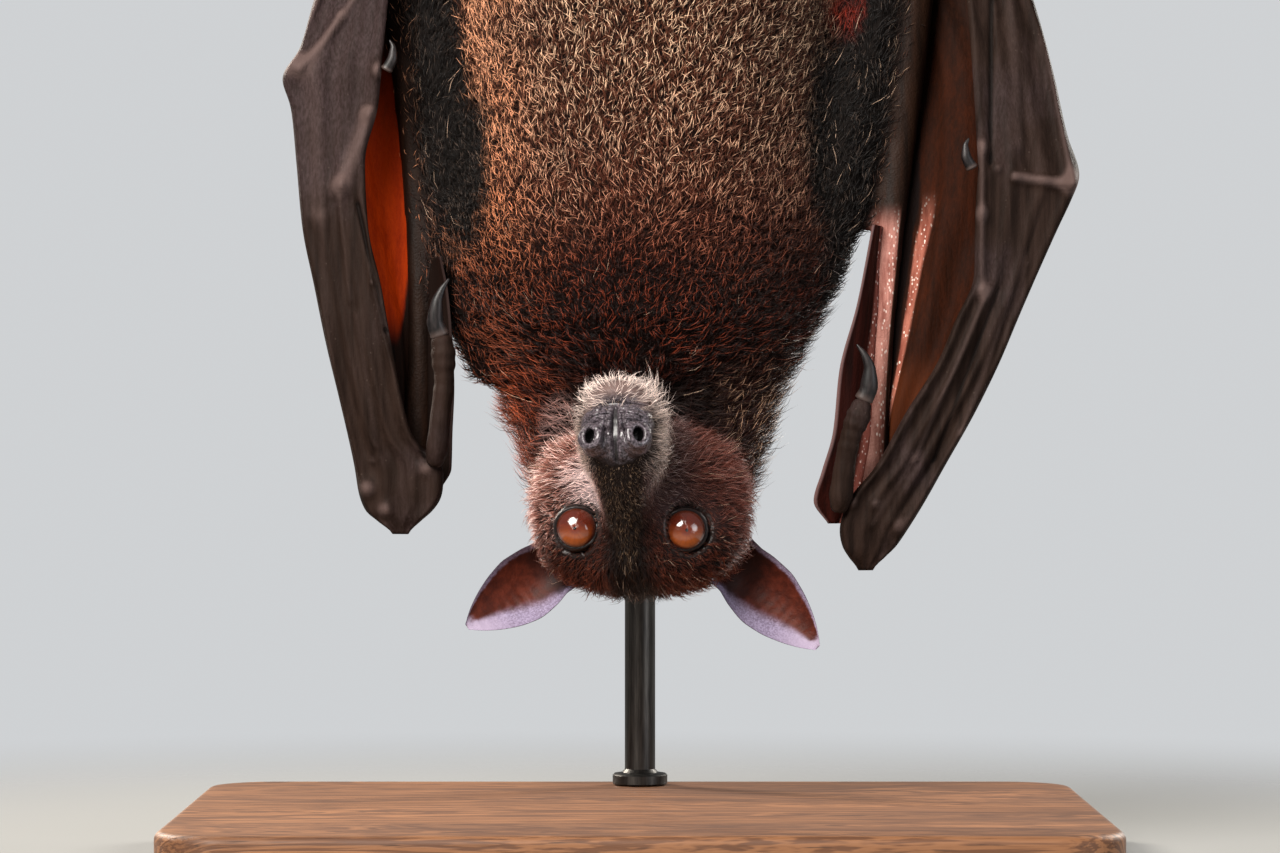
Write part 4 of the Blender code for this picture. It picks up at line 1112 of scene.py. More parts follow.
# x and height of either end, how far it stands out (less than 0 for a crease), width
VEINS = {
    "left": [
        (-104, 163, -91.5, 180, 1.4, 1.5), (-91.5, 180, -80, 198, 1, 1.4),
        (-107, 167, -98.5, 187, 0.9, 1.2), (-83, 149, -91.5, 127, 1.1, 3),
        (-91.8, 124, -88.6, 92, 0.5, 0.8), (-86.2, 122, -77.5, 83, -1, 0.8),
        (-77.5, 83, -65.5, 44, -1, 0.8), (-83, 118, -81.5, 98, 0.6, 0.9),
        (-81.5, 98, -69.5, 52, 0.6, 1), (-94, 60, -97.5, 118, 0.45, 2.4),
        (-86.5, 88, -80.5, 48, 0.5, 1.4), (-100.5, 165, -99, 120, 0.6, 4.5),
    ],
    "right": [
        (114.7, 130.4, 132.7, 128, 1.4, 1.6), (132, 131, 124.5, 178, 0.9, 1.4),
        (108.2, 186, 107.2, 134, -0.9, 0.8), (104.2, 138, 104.6, 96, 0.8, 1.4),
        (105, 93, 84, 44, 0.7, 1.2), (84, 44, 71, 24, 0.5, 1.4), (109.5, 96, 90, 44, -0.6, 0.8),
        (90, 44, 76, 22, -0.4, 0.8), (118, 104, 98, 52, 0.6, 1.6), (98, 52, 83, 26, 0.4, 1.6),
        (116, 140, 114, 190, 0.6, 2.2), (123, 122, 106, 66, -0.4, 0.9),
    ],
}


def relief(side, x, h):
    """How far knobs, bones and creases stand out of the folded hand."""
    total = np.zeros_like(x)
    for kx, kh, up, radius in KNOBS[side]:
        total += up * np.exp(-((x - kx) ** 2 + (h - kh) ** 2) / radius**2)
    for ax, ah, bx, bh, up, wide in VEINS[side]:
        dx, dh = bx - ax, bh - ah
        t = np.clip(((x - ax) * dx + (h - ah) * dh) / (dx * dx + dh * dh), 0, 1)
        gap = np.hypot(x - ax - t * dx, h - ah - t * dh)
        total += up * np.exp(-((gap / wide) ** 2))
    return total


def closed_plate(front, back):
    """Points and faces over a front and a back grid of equal size, which meet at their edges."""
    rings = np.concatenate([front, back[:, ::-1]], axis=1)
    return tube(rings, rings[0].mean(0), rings[-1].mean(0))


# The folded hand's round low end: how far down, share of its half width, thickness
HAND_END = [(1.8, 0.5, 2.6), (1.2, 0.84, 4.4), (0.5, 0.97, 5.2)]


def make_hand(side):
    """The folded hand and fingers: bones, skin between them, knuckles and creases."""
    rows = HAND[side] + FINGERS[side][1:]
    low, left, right, deep = rows[0][:4]
    middle, half = (left + right) / 2, (right - left) / 2
    rows = [(low - d, middle - s * half, middle + s * half, deep, t, 0.86 * t) for d, s, t in HAND_END] + rows
    h = np.linspace(rows[0][0], rows[-1][0], 250)
    columns = [np.pad(column, 2, mode="edge") for column in between(rows, h).T]
    inner, outer, y, thick, thin = [np.convolve(column, np.ones(5) / 5, "valid") for column in columns]
    v = 0.5 - 0.5 * np.cos(np.linspace(0, 1, 40) * math.pi) * 0.999
    v = 0.6 * v + 0.4 * np.linspace(0, 1, 40)
    bump = np.exp(-(((v[:, None] - np.array(DIGITS)) / 0.075) ** 2)).max(1)
    edge = np.sqrt(np.clip(1 - (np.abs(2 * v - 1)) ** 14, 0.03, 1))
    wide = np.abs(outer - inner)
    x = inner[:, None] + (outer - inner)[:, None] * v
    lean = (1.5 + 4.0 * rise(wide, 9, 16))[:, None] * (v - 0.5)
    soft = (0.75 - 0.35 * rise(h, 60, 110) * (1 - rise(h, 150, 200)))[:, None]
    half = (thin[:, None] + (thick - thin)[:, None] * bump * soft) / 2 * edge
    high = h[:, None] + 0 * x
    at = np.stack([(v * wide[:, None] * 0.34), high * 0.012, 0 * x], -1).reshape(-1, 3)
    lines = ripple(at * (1.6, 1, 1), 11) + 0.6 * ripple(at * (3.6, 2, 1), 12)
    fine = ripple(np.stack([x * 0.5 + high * 0.08, high * 0.16, 0 * x], -1).reshape(-1, 3), 13)
    skin = (0.09 * lines + 0.05 * fine).reshape(x.shape) * edge
    stands_out = relief(side, x, high)
    proud = 1.5 * stands_out * np.minimum(edge * 1.2, 1)
    middle = y[:, None] + lean
    front = np.stack([x, middle - half - skin - proud, high + CROWN_Z], -1)
    back = np.stack([x, middle + half + 0.6 * skin, high + CROWN_Z], -1)
    points, faces = closed_plate(front, back)
    return points, faces, {"stands_out": twice(stands_out)}


def thin_sheet(lines, thick):
    """A thin sheet over lines of points, with rounded edges."""
    way = np.gradient(lines[:, :, :2], axis=1)
    normal = np.stack([-way[..., 1], way[..., 0]], -1)
    normal = units(normal, 1e-6)
    v = np.linspace(-1, 1, lines.shape[1])
    move = np.zeros_like(lines)
    move[..., :2] = normal * (thick / 2 * np.sqrt(np.clip(1 - v**12, 0.04, 1)))[:, None]
    return closed_plate(lines + move, lines - move)


def make_membrane(side):
    """The skin folded between forearm, flank and fingers."""
    rows = stations(WING_SKIN[side], 150)
    lowest = rows[0] - np.array([14, 0, 0, 0, 0, 0, 0])
    h, ix, iy, bx, by, ox, oy = np.vstack([lowest, rows]).T
    ox = ox + np.sign(ox) * 2.6 * (1 - rise(h, 88, 112))
    t = np.linspace(0, 1, 46)
    a, b, c = (1 - t) ** 2, 2 * t * (1 - t), t * t
    x = ix[:, None] * a + bx[:, None] * b + ox[:, None] * c
    y = iy[:, None] * a + by[:, None] * b + oy[:, None] * c
    wide = np.hypot(ox - ix, oy - iy)[:, None]
    fold = 0.045 * wide * np.sin(t * 4 * math.pi) * np.sin(math.pi * t)
    at = np.stack([t * wide * 0.3, h[:, None] * 0.01 + 0 * x, 0 * x], -1).reshape(-1, 3)
    waves = (0.5 * ripple(at, 21) + 0.22 * ripple(at * (2.6, 2, 1), 22)).reshape(x.shape)
    fold = fold + waves * np.sin(math.pi * t) ** 0.4
    wx, wy = (ox - ix)[:, None] / wide, (oy - iy)[:, None] / wide
    lines = np.stack([x - wy * fold, y + wx * fold, h[:, None] + CROWN_Z + 0 * x], -1)
    points, faces = thin_sheet(lines, 0.9)
    grid_t, grid_h = np.broadcast_to(t, x.shape), np.broadcast_to(h[:, None], x.shape)
    return points, faces, {"across": twice(grid_t), "height": twice(grid_h)}


def twice(grid):
    """Values of a grid for both faces of a closed plate and its two end points."""
    whole = np.concatenate([grid, grid[:, ::-1]], axis=1)
    return np.concatenate([whole.ravel(), [whole[0].mean(), whole[-1].mean()]])


def make_front_skin(side):
    """The skin in front of the forearm, with its corded free edge."""
    h, fx, fy, ax, ay = stations(FRONT_SKIN[side], 90).T
    t = np.linspace(0, 1, 20)
    x = fx[:, None] + (ax - fx)[:, None] * t
    y = fy[:, None] + (ay - fy)[:, None] * t
    y = y + 0.5 * np.sin(t * 9 + h[:, None] * 0.02) * np.sin(math.pi * t)
    lines = np.stack([x, y, h[:, None] + CROWN_Z + 0 * x], -1)
    points, faces = thin_sheet(lines, 1.0)
    # across runs on from 2 here, so that the wing's finish tells this skin from the membrane
    grid_t, grid_h = np.broadcast_to(t, x.shape), np.broadcast_to(h[:, None], x.shape)
    return points, faces, {"across": twice(grid_t) + 2.0, "height": twice(grid_h)}


def rod(rows, count=18, flat=1.0, ends=(0.5, 0.5), shape=None):
    """Points and faces of a round limb with domed ends; shape changes the radius along it."""
    rows = np.asarray(rows, float)
    along, across = frames(rows[:, :3])
    radii = rows[:, 3] * (1 if shape is None else shape)
    start = rows[0, :3] - along[0] * radii[0] * ends[0]
    stop = rows[-1, :3] + along[-1] * radii[-1] * ends[1]
    rings = []
    for r, radius, (s, u) in zip(rows, radii, across):
        rings.append(oval(r[:3], s, u, radius, radius * flat, radius * flat, 2, count))
    domes = []
    for ring, middle, tip in ((rings[0], rows[0, :3], start), (rings[-1], rows[-1, :3], stop)):
        angles = [k * math.pi / 2 for k in (0.45, 0.8)]
        domes.append([middle + (ring - middle) * math.cos(a) + (tip - middle) * math.sin(a) for a in angles])
    return tube(domes[0][::-1] + rings + domes[1], start, stop)


def make_thumb(side):
    rows = finer_rod(above_crown(THUMB[side]), 60)
    t = np.linspace(0, 1, 60)
    creases = 1 - 0.07 * rise(t, 0.45, 0.7) * (0.5 + 0.5 * np.sin(t * 62)) - 0.02 * np.sin(t * 30)
    points, faces = rod(rows, 22, 1.0, (0.5, 0.4), creases)
    return points, faces, {}


def make_foot(side):
    """The sole and five toes that grip the branch."""
    way = WAYS[side]
    ankle = [(32.0, 22.0, 461.0, 2.4, 2.4), (31.3, 23.0, 468.0, 3.7, 3.7), (30.7, 24.3, 475.0, 4.5, 4.5)]
    rows = stations([(z, x, y, half, deep) for x, y, z, half, deep in ankle + FOOT], 34)
    rings = []
    for z, x, y, half, deep in rows:
        rings.append(oval((way * x, y, z), (1, 0, 0), (0, 1, 0), half, deep, deep, 2.3, 36))
    points, faces = tube(rings, rings[0].mean(0), rings[-1].mean(0) + np.array([0, 0, 1.5]))
    whole, sides, start = [points], [faces], len(points)
    for spread in TOE_SPREAD:
        sizes = (TOE_RADIUS, TOE_RADIUS * 0.9)
        path = toe_path(FOOT_X * way, spread, TOE_FROM - 12, TOE_TO + 6, sizes, 46)
        t = np.linspace(0, 1, 46)
        creases = 0.05 * (0.5 + 0.5 * np.sin(t * 70)) * rise(t, 0.1, 0.3)
        knuckles = 1 + 0.10 * np.exp(-(((t - 0.42) / 0.07) ** 2)) - creases
        toe, skin = rod(path, 14, 1.0, (0.6, 0.5), knuckles)
        whole.append(toe)
        sides.append(skin + start)
        start += len(toe)
    return np.vstack(whole), np.vstack(sides), {}


def toe_path(x, spread, start, end, radius, count, lift=0.0):
    """Rows of x, y, z, radius round the branch from one angle to another."""
    k = np.linspace(0, 1, count)
    a = np.radians(start + (end - start) * k)
    size = radius[0] + (radius[1] - radius[0]) * k
    reach = BRANCH_RADIUS + 1.5 + lift + size
    across = x + spread * (0.62 + 0.38 * np.clip((np.degrees(a) + 34) / 60, 0, 1))
    return np.stack([across, BRANCH_Y + reach * np.cos(a), BRANCH_Z + reach * np.sin(a), size], 1)


def make_ear(side):
    """A thin pointed ear, hollow towards the front, with a rolled rim and faint cross ribs."""
    root, tip, out = EARS[side]
    root, tip = np.array(root), np.array(tip)
    along = unit(tip - root)
    across = unit(np.cross((0, -1, 0), along)) * out
    deep = np.cross(along, across)
    deep = deep if deep[1] > 0 else -deep
    share = np.linspace(-0.12, 0.985, 70)
    outer, inner, hollow = between(EAR_SHAPE, share).T
    narrow = np.sqrt(np.clip((1.0 - share) / 0.06, 0, 1))
    v = np.sin(np.linspace(-1, 1, 41) * math.pi / 2)
    v = 0.5 * v + 0.5 * np.linspace(-1, 1, 41)
    side_way = np.where(v > 0, outer[:, None], inner[:, None]) * narrow[:, None] * v
    depth = hollow[:, None] * (1 - v * v) - 1.5 * share[:, None]
    ribs = 0.10 * np.sin(share * 70)[:, None] * (1 - v * v) * (rise(share, 0.15, 0.4))[:, None]
    rim = np.exp(-(((1 - np.abs(v)) / 0.06) ** 2))
    middle = root + (tip - root) * share[:, None, None]
    sheet = middle + across * side_way[..., None] + deep * (depth + ribs - 0.35 * rim)[..., None]
    thick = (1.5 - 0.6 * np.clip(share, 0, 1))[:, None] * (1.0 - 0.35 * np.abs(v) ** 3)
    back = sheet + deep * thick[..., None]
    points, faces = closed_plate(sheet, back)
    rim_of = np.clip(np.maximum(np.abs(v), (share[:, None] - 0.3) / 0.7), 0, 1)
    front = np.concatenate([np.ones_like(rim_of), np.zeros_like(rim_of)], axis=1)
    front = np.concatenate([front.ravel(), [0.5, 0.5]])
    low = np.broadcast_to(-v, rim_of.shape)
    stored = {"rim": twice(rim_of), "front": front, "side": twice(low)}
    stored["along_ear"] = twice(np.broadcast_to(share[:, None], rim_of.shape))
    return points, faces, stored


def joined(name, pieces):
    """One mesh object from several: each a mesh or its points and faces, numbers, material."""
    made = []
    for source, stored, material in pieces:
        if isinstance(source, bpy.types.Mesh):
            piece = bpy.data.objects.new(name, source)
            bpy.context.scene.collection.objects.link(piece)
        else:
            piece = outward(mesh_of(name, *source))
        for key, values in stored.items():
            keep(piece.data, key, values)
        piece.data.materials.clear()
        piece.data.materials.append(material)
        made.append(piece)
    first = {"active_object": made[0], "object": made[0]}
    with bpy.context.temp_override(**first, selected_editable_objects=made, selected_objects=made):
        bpy.ops.object.join()
    made[0].name = name
    made[0].data.polygons.foreach_set("use_smooth", np.full(len(made[0].data.polygons), True))
    return made[0]


def hide_look():
    """Skin under the coat with the coat's markings and painted light and shade, bare nose and lids with
    painted shade in the nostrils, the groove and round the eyes, bare forearms.
    """
    look = Look("hide", Roughness=0.55, Specular_IOR_Level=0.1, Coat_Roughness=0.22)
    coat = coat_tones(look, look.number(0.12), look.noise(1.4, 2))
    f, s, u = head_axes(look)
    grain = look.noise(1.6, 4, 0.6)
    pores = look.cells(1.5)
    nose = look.fade(grain, 0.35, 0.7, (28, 23, 26), (104, 94, 101))
    pale = look.fade(look.noise(0.5, 3), 0.4, 0.65, (112, 92, 90), (160, 140, 136))
    middle = look.reach(head_spot(44, 0, -14.0), (1, 1, 1))
    nose = look.mix(middle.rise(12.5, 16.5) * 0.7, nose, pale)
    inside = NOSTRIL - NOSTRIL_WAY * 1.5
    insides = [head_spot(inside[0], way * inside[1], inside[2]) for way in (-1, 1)]
    # painted shade: near-black inside the nostrils
    nostril_shade = [look.reach(at).rise(3, 2.3) for at in insides]
    nose = look.mix(nostril_shade[0] + nostril_shade[1], nose, (6, 5, 6))
    # painted shade: dark along the groove between the nostrils
    cleft_shade = abs(s).rise(0.75, 0.25) * u.rise(-25, -22) * u.rise(-6, -9)
    nose = look.mix(cleft_shade * 0.9, nose, (14, 10, 11))
    bare_nose = (f + look.noise(0.4) * 4).rise(36.5, 41) * u.rise(-29, -25)
    colour = look.mix(bare_nose, coat, nose)
    bare = look.stored("bare")
    arm = look.fade(look.noise(0.18, 4, 0.6, (1, 1, 0.15)), 0.35, 0.7, (20, 11, 7), (42, 25, 16))
    z, beside = look.along((0, 0, 1)), look.stored("arm_side")
    on_right = look.along((1, 0, 0)).rise(-1, 1)
    long = look.noise(0.35, 3, 0.6, (1, 1, 0.12))
    rosy = look.fade(long, 0.35, 0.65, (128, 74, 64), (184, 128, 116))
    scurf = look.cells(0.95, (1, 1, 0.55)).rise(0.34, 0.18) * look.noise(0.25, 2).rise(0.36, 0.5)
    rosy = look.mix(scurf * abs(beside + 0.35).rise(0.15, 0.45), rosy, (222, 200, 190))
    lit = on_right * z.rise(206, 192) * ((z + long * 16).rise(150, 190) * 0.7 + 0.3)
    lit = lit * z.rise(104, 130) * (beside + long * 0.2).rise(0.74, 0.62)
    arm = look.mix(lit, arm, rosy)
    shadow = on_right * abs(beside - 0.88).rise(0.22, 0.12) * z.rise(210, 196)
    arm = look.mix(shadow, arm, (18, 9, 8))
    colour = look.mix(bare, colour, arm)
    lids = [look.reach(at).rise(9.4, 8.7) for at in EYES.values()]
    colour = look.mix(lids[0] + lids[1], colour, look.mix(grain, (24, 16, 14), (48, 35, 32)))
    # painted shade: near-black where the lids meet the balls and in the inner corners
    lid_contact_shade = [look.reach(at).rise(7.85, 7.6) for at in EYES.values()]
    corners = [look.reach(EYES[side] + CORNER[side], (2.2, 3, 1.1)).rise(1.2, 0.7) for side in SIDES]
    dark = (lid_contact_shade[0] + lid_contact_shade[1] + corners[0] + corners[1]).rise(0, 1)
    colour = look.mix(dark, colour, (12, 8, 8))
    gloss = 0.75 - 0.36 * bare_nose - 0.2 * bare - 0.3 * (lids[0] + lids[1]) - 0.1 * dark
    soft = look.bump(grain + look.noise(0.6, 3) * 1.2, 0.12)
    wet = bare_nose * 0.75 + (lids[0] + lids[1]) * 0.25
    look.use(Base_Color=colour, Roughness=gloss, Coat_Weight=wet, Normal=look.bump(pores, 0.08, soft))
    return look.material


# the left hand's inner edge, where the lit strip ends: its x at height 0 and how it leans
HAND_EDGE, HAND_SLOPE = -97.6, -0.149


def wing_look():
    """Thin dark wing skin: fine creases, a painted dull lilac sheen, painted highlight and shade on the
    knuckles and creases, and painted warm backlight where it is thin.
    """
    look = Look("wing_skin", Roughness=0.5, Specular_IOR_Level=0.05)
    x, _, z = world_axes(look)
    long = look.noise(0.30, 5, 0.62, (1, 1, 0.05), 0.15)
    fine = look.noise(1.5, 4, 0.6, (1, 1, 0.35))
    broad = look.noise(0.03, 3, 0.5)
    dark = look.fade(long, 0.30, 0.72, (24, 15, 11), (42, 30, 25))
    # painted sheen: lilac-grey in broad patches, most of it high on the left
    lilac = look.fade(fine, 0.3, 0.7, (38, 29, 28), (60, 48, 49))
    high = z.rise(190, 260) * x.rise(40, -40)
    dark = look.mix((broad + long * 0.4 + high * 0.3).rise(0.66, 1) * 0.7, dark, lilac)
    speck = look.cells(0.45).rise(0.16, 0.05) * look.noise(0.1, 2).rise(0.5, 0.62)
    dark = look.mix(speck * 0.25, dark, (90, 76, 68))
    # painted highlight: knuckles and bones paler; painted shade: creases nearly black
    stands_out = look.stored("stands_out")
    dark = look.mix((stands_out + fine * 0.3).rise(0.35, 1.7) * 0.6, dark, (98, 80, 76))
    dark = look.mix(stands_out.rise(-0.15, -0.7) * 0.8, dark, (9, 6, 5))
    # the thin skin: red-brown, with painted backlight: orange on the left, dull amber and a faint orange glow
    # low on the right; salmon with scurf on the right, partly skin colour and partly painted light
    across, height = look.stored("across"), look.stored("height")
    brown = look.fade(long, 0.3, 0.7, (20, 11, 8), (38, 20, 12))
    orange = look.fade(long + fine * 0.4, 0.4, 1.0, (104, 22, 2), (160, 50, 6))
    lit = x.rise(0, -1) * (height + long * 30).rise(190, 140) * height.rise(78, 90)
    lean = look.along((1, 0, HAND_SLOPE)) + long * 2
    lit = lit * lean.rise(0.4 + HAND_EDGE, -1.0 + HAND_EDGE)
    amber = look.fade(long + fine * 0.5, 0.5, 1.2, (26, 9, 3), (52, 20, 6))
    scurf = look.cells(1.0, (1, 1, 0.6)).rise(0.34, 0.18) * look.noise(0.3, 3, 0.6).rise(0.40, 0.52)
    salmon = look.fade(long, 0.35, 0.65, (112, 58, 46), (156, 96, 80))
    salmon = look.mix(scurf, salmon, (216, 194, 182))
    on_right = x.rise(-1, 0)
    near = across + long * 0.06
    strip = on_right * near.rise(0.30, 0.26) * near.rise(0.17, 0.20) * height.rise(128, 112)
    # painted shade: near-black beside the forearm and, higher up, along the outer edge where the skin runs
    # behind the hand
    dim = on_right * (near.rise(0.17, 0.13) + across.rise(0.93, 0.98) * height.rise(96, 120))
    # painted backlight: dull amber over the lower part of the right membrane
    thin = look.mix(on_right * height.rise(205, 150), brown, amber)
    thin = look.mix(strip, thin, salmon)
    thin = look.fade(dim, 0, 1, thin, (14, 6, 5))
    # painted backlight: a faint orange glow low on the right
    low = on_right * height.rise(80, 62) * near.rise(0.2, 0.35)
    thin = look.mix(low * 0.15, thin, (130, 66, 36))
    thin = look.mix(lit, thin, orange)
    is_thin = height.rise(1, 4) * across.rise(1.6, 1.4)
    colour = look.mix(is_thin, dark, thin)
    front = across.rise(1.9, 2)
    red = look.fade(long, 0.3, 0.7, (22, 8, 6), (48, 16, 11))
    colour = look.mix(front, colour, look.mix(on_right, (22, 14, 11), red))
    scurfy = look.mix(scurf, (112, 62, 54), (212, 190, 182))
    colour = look.mix(front * on_right * (across + long * 0.1).rise(2.72, 2.86), colour, scurfy)
    # the free edge of the front skin is a pale cord
    cord = front * across.rise(2.08, 2.03) * (0.08 + on_right * 0.4)
    colour = look.mix(cord, colour, (126, 98, 96))
    gloss = 0.55 + long * 0.12 - broad.rise(0.5, 0.7) * 0.06 + is_thin * 0.1
    creases = look.bump(look.noise(0.9, 4, 0.6, (1, 1, 0.04), 0.1), 0.14)
    wrinkles = look.bump(look.noise(0.7, 4, 0.65, (1, 1, 0.5), 1.2), 0.16, creases)
    look.use(Base_Color=colour, Roughness=gloss, Normal=look.bump(fine, 0.06, wrinkles))
    # painted glow: a faint orange emission where the thin skin on the left is lit from behind
    shine = look.mix(lit * is_thin, (0, 0, 0), (236, 70, 8))
    look.use(Emission_Color=shine)
    look.shader.inputs["Emission Strength"].default_value = 0.06
    return look.material


def ear_look():
    """Rust-brown inside, lilac towards the tip and the low edge, dark brown behind."""
    look = Look("ear_skin", Roughness=0.5, Specular_IOR_Level=0.14)
    rim, front, share = (look.stored(n) for n in ("rim", "front", "along_ear"))
    grain = look.noise(0.35, 4, 0.6)
    fine = look.noise(1.8, 3, 0.6)
    side = look.stored("side")
    inside = look.fade(grain, 0.3, 0.7, (56, 19, 10), (80, 31, 18))
    inside = look.mix(share.rise(0.30, 0.02) * 0.75, inside, (24, 9, 7))
    lilac = look.fade(fine, 0.3, 0.7, (102, 90, 110), (144, 132, 156))
    lilac = look.fade(share, 0.5, 0.95, lilac, (150, 136, 156))
    low = (side + share * 0.9 + grain * 0.3).rise(0.72, 1.3)
    low = low + (rim + grain * 0.2).rise(0.9, 1.06)
    inside = look.fade(low, 0.0, 1.0, inside, lilac)
    inside = look.fade(rim, 0.97, 0.995, inside, (40, 30, 32))
    back = look.fade(grain, 0.3, 0.7, (34, 25, 24), (62, 48, 44))
    colour = look.mix(front, back, inside)
    veins = look.noise(0.25, 2, 0.5, (1, 1, 1), 2.0)
    soft = look.bump(veins, 0.16)
    look.use(Base_Color=colour, Roughness=0.42 + grain * 0.25, Normal=look.bump(fine, 0.08, soft))
    return look.material


def coat_look():
    """Solid tufts: dark roots, warm shafts, pale tips."""
    look = Look("coat", Roughness=0.5, Specular_IOR_Level=0.24)
    tip, luck = look.stored("tip"), look.stored("luck")
    colour = coat_tones(look, tip, luck)
    shade = look.fade(luck, 0, 1, (0.52, 0.52, 0.52, 1), (1.55, 1.5, 1.45, 1))
    colour = look.mix(1.0, colour, shade, "MULTIPLY")
    look.use(Base_Color=colour, Roughness=0.58 - tip * 0.16)
    return look.material


def eye_look():
    """A wet brown eye: small round pupil, streaked iris, dark outside."""
    wet = {"Coat_Weight": 1.0, "Coat_Roughness": 0.02, "Coat_IOR": 1.45}
    look = Look("eye", Roughness=0.12, Specular_IOR_Level=0.6, **wet)
    out, streaks = look.stored("from_middle"), look.stored("streaks")
    # painted light: the iris lighter low down, darker at the top
    upper = look.along((0, 0, 1)).rise(101.2, 107.5)
    iris = look.mix(upper, (138, 66, 24), (80, 28, 17))
    iris = look.mix((streaks * 0.7 + out * 0.25).rise(0.1, 1.1) * 0.5, iris, (60, 22, 12))
    iris = look.fade(out, 0.34, 0.14, iris, (98, 38, 20))
    iris = look.fade(out, 0.70, 0.92, iris, (66, 26, 14))
    iris = look.fade(out, 0.92, 1.04, iris, (14, 8, 7))
    colour = look.fade(out + streaks * 0.012, 0.088, 0.062, iris, (6, 4, 4))
    look.use(Base_Color=colour, Normal=look.bump(streaks, 0.04))
    return look.material


def horn_look():
    """Near-black claws, paler where they leave the skin."""
    shine = {"Coat_Weight": 0.08, "Coat_Roughness": 0.25}
    look = Look("horn", Roughness=0.3, Specular_IOR_Level=0.3, **shine)
    grain = look.noise(0.9, 4, 0.6, (1, 1, 0.25))
    tip = look.stored("tip")
    colour = look.fade(grain, 0.35, 0.7, (12, 9, 9), (34, 27, 27))
    colour = look.fade(tip, 0.14, 0.0, colour, (62, 50, 46))
    look.use(Base_Color=colour, Roughness=0.34 + grain * 0.28, Normal=look.bump(grain, 0.08))
    return look.material


def bark_look():
    """Brown bark with grey lichen, and rings on the sawn ends."""
    look = Look("bark", Roughness=0.85, Specular_IOR_Level=0.25)
    broad = look.noise(0.06, 4, 0.6, (0.4, 1, 1), 0.6)
    fine = look.noise(0.5, 5, 0.65, (0.25, 1, 1), 0.4)
    colour = look.fade(broad, 0.35, 0.65, (78, 58, 42), (134, 108, 82))
    colour = look.mix(fine.rise(0.56, 0.4) * 0.75, colour, (44, 31, 23))
    lichen = look.noise(0.12, 4, 0.7).rise(0.6, 0.68) * 0.6
    colour = look.mix(lichen, colour, (150, 150, 128))
    ends = abs(look.along((1, 0, 0))).rise(BRANCH_HALF - 1.6, BRANCH_HALF - 0.9)
    wood = look.reach((0, BRANCH_Y, BRANCH_Z), (1e6, 1, 1))
    rings = look.sine(wood * 3.4 + fine * 2.2)
    sawn = look.fade(rings, -0.4, 0.9, (160, 128, 88), (126, 92, 58))
    sawn = look.fade(wood, 12.6, 13.6, sawn, (88, 62, 42))
    colour = look.mix(ends, colour, sawn)
    height = (broad * 1.4 + fine) * (1 - ends * 0.85)
    look.use(Base_Color=colour, Roughness=0.72 + fine * 0.22, Normal=look.bump(height, 0.9))
    return look.material


def board_look():
    """Oiled walnut, grain along the base's length."""
    oil = {"Coat_Weight": 0.05, "Coat_Roughness": 0.35}
    look = Look("stand_wood", Roughness=0.5, Specular_IOR_Level=0.35, **oil)
    grain = look.noise(0.045, 5, 0.62, (0.09, 1, 1.4), 1.4)
    pores = look.noise(0.9, 3, 0.6, (0.06, 1, 1))
    line = look.sine(grain * 64.0)
    colour = look.fade(line, -0.9, 1.0, (92, 58, 36), (134, 90, 58))
    colour = look.mix(grain.rise(0.4, 0.66) * 0.55, colour, (72, 44, 28))
    colour = look.mix(pores.rise(0.6, 0.72) * 0.7, colour, (48, 29, 19))
    soft = look.bump(pores + line * 0.15, 0.12)
    look.use(Base_Color=colour, Roughness=0.48 + pores * 0.22, Normal=soft)
    return look.material


def rod_look():
    """Dark brushed metal."""
    look = Look("stand_metal", Metallic=1.0, Roughness=0.36)
    brushed = look.noise(1.4, 3, 0.6, (1, 1, 0.05))
    worn = look.noise(0.05, 4, 0.6)
    colour = look.fade(brushed, 0.3, 0.7, (48, 46, 45), (70, 67, 64))
    look.use(Base_Color=colour, Roughness=0.3 + worn * 0.2, Normal=look.bump(brushed, 0.02))
    return look.material


def floor_look():
    """A plain matt floor that fades out far from the stand."""
    look = Look("floor", Roughness=0.9, Specular_IOR_Level=0.0)
    soft = look.noise(0.004, 3, 0.5)
    colour = look.mix(soft, (136, 136, 135), (144, 144, 143))
    away = look.reach((0, 0, 0)).rise(640, 200)
    rough = look.bump(look.noise(0.5, 3), 0.05)
    look.use(Base_Color=colour, Roughness=0.86 + soft * 0.1, Alpha=away, Normal=rough)
    return look.material


def make_eye(side, material):
    """A ball with a low clear dome over the iris, turned to where the bat looks."""
    at, gaze = EYES[side], GAZE[side]
    iris, dome = 0.95, 0.28
    polar = np.linspace(0.02, math.pi - 0.02, 60)
    turn = np.linspace(0, 2 * math.pi, 96, endpoint=False)
    ring = round_gaze(side, turn)
    rings = []
    for a, more in zip(polar, dome * np.clip(1 - (polar / iris) ** 2, 0, 1) ** 0.8):
        rings.append(at + (EYE_RADIUS + more) * (math.cos(a) * gaze + math.sin(a) * ring))
    points, faces = tube(rings, at + gaze * (EYE_RADIUS + dome), at - gaze * EYE_RADIUS)
    made = new_piece("eye_ball_" + side, points, faces, material)
    out = np.concatenate([np.repeat(polar / iris, len(turn)), [0, math.pi / iris]])
    turn = np.concatenate([np.tile(turn, len(polar)), [0, 0]])
    c, s = np.cos(turn), np.sin(turn)
    streaks = ripple(np.stack([c * 9, s * 9, out * 1.2], 1), 4) * 0.5 + 0.5
    streaks += 0.3 * ripple(np.stack([c * 22, s * 22, out * 2.5], 1), 6)
    keep(made.data, "from_middle", out)
    keep(made.data, "streaks", np.clip(streaks, 0, 1))
    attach(made, "root")
    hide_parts("eye_" + side)


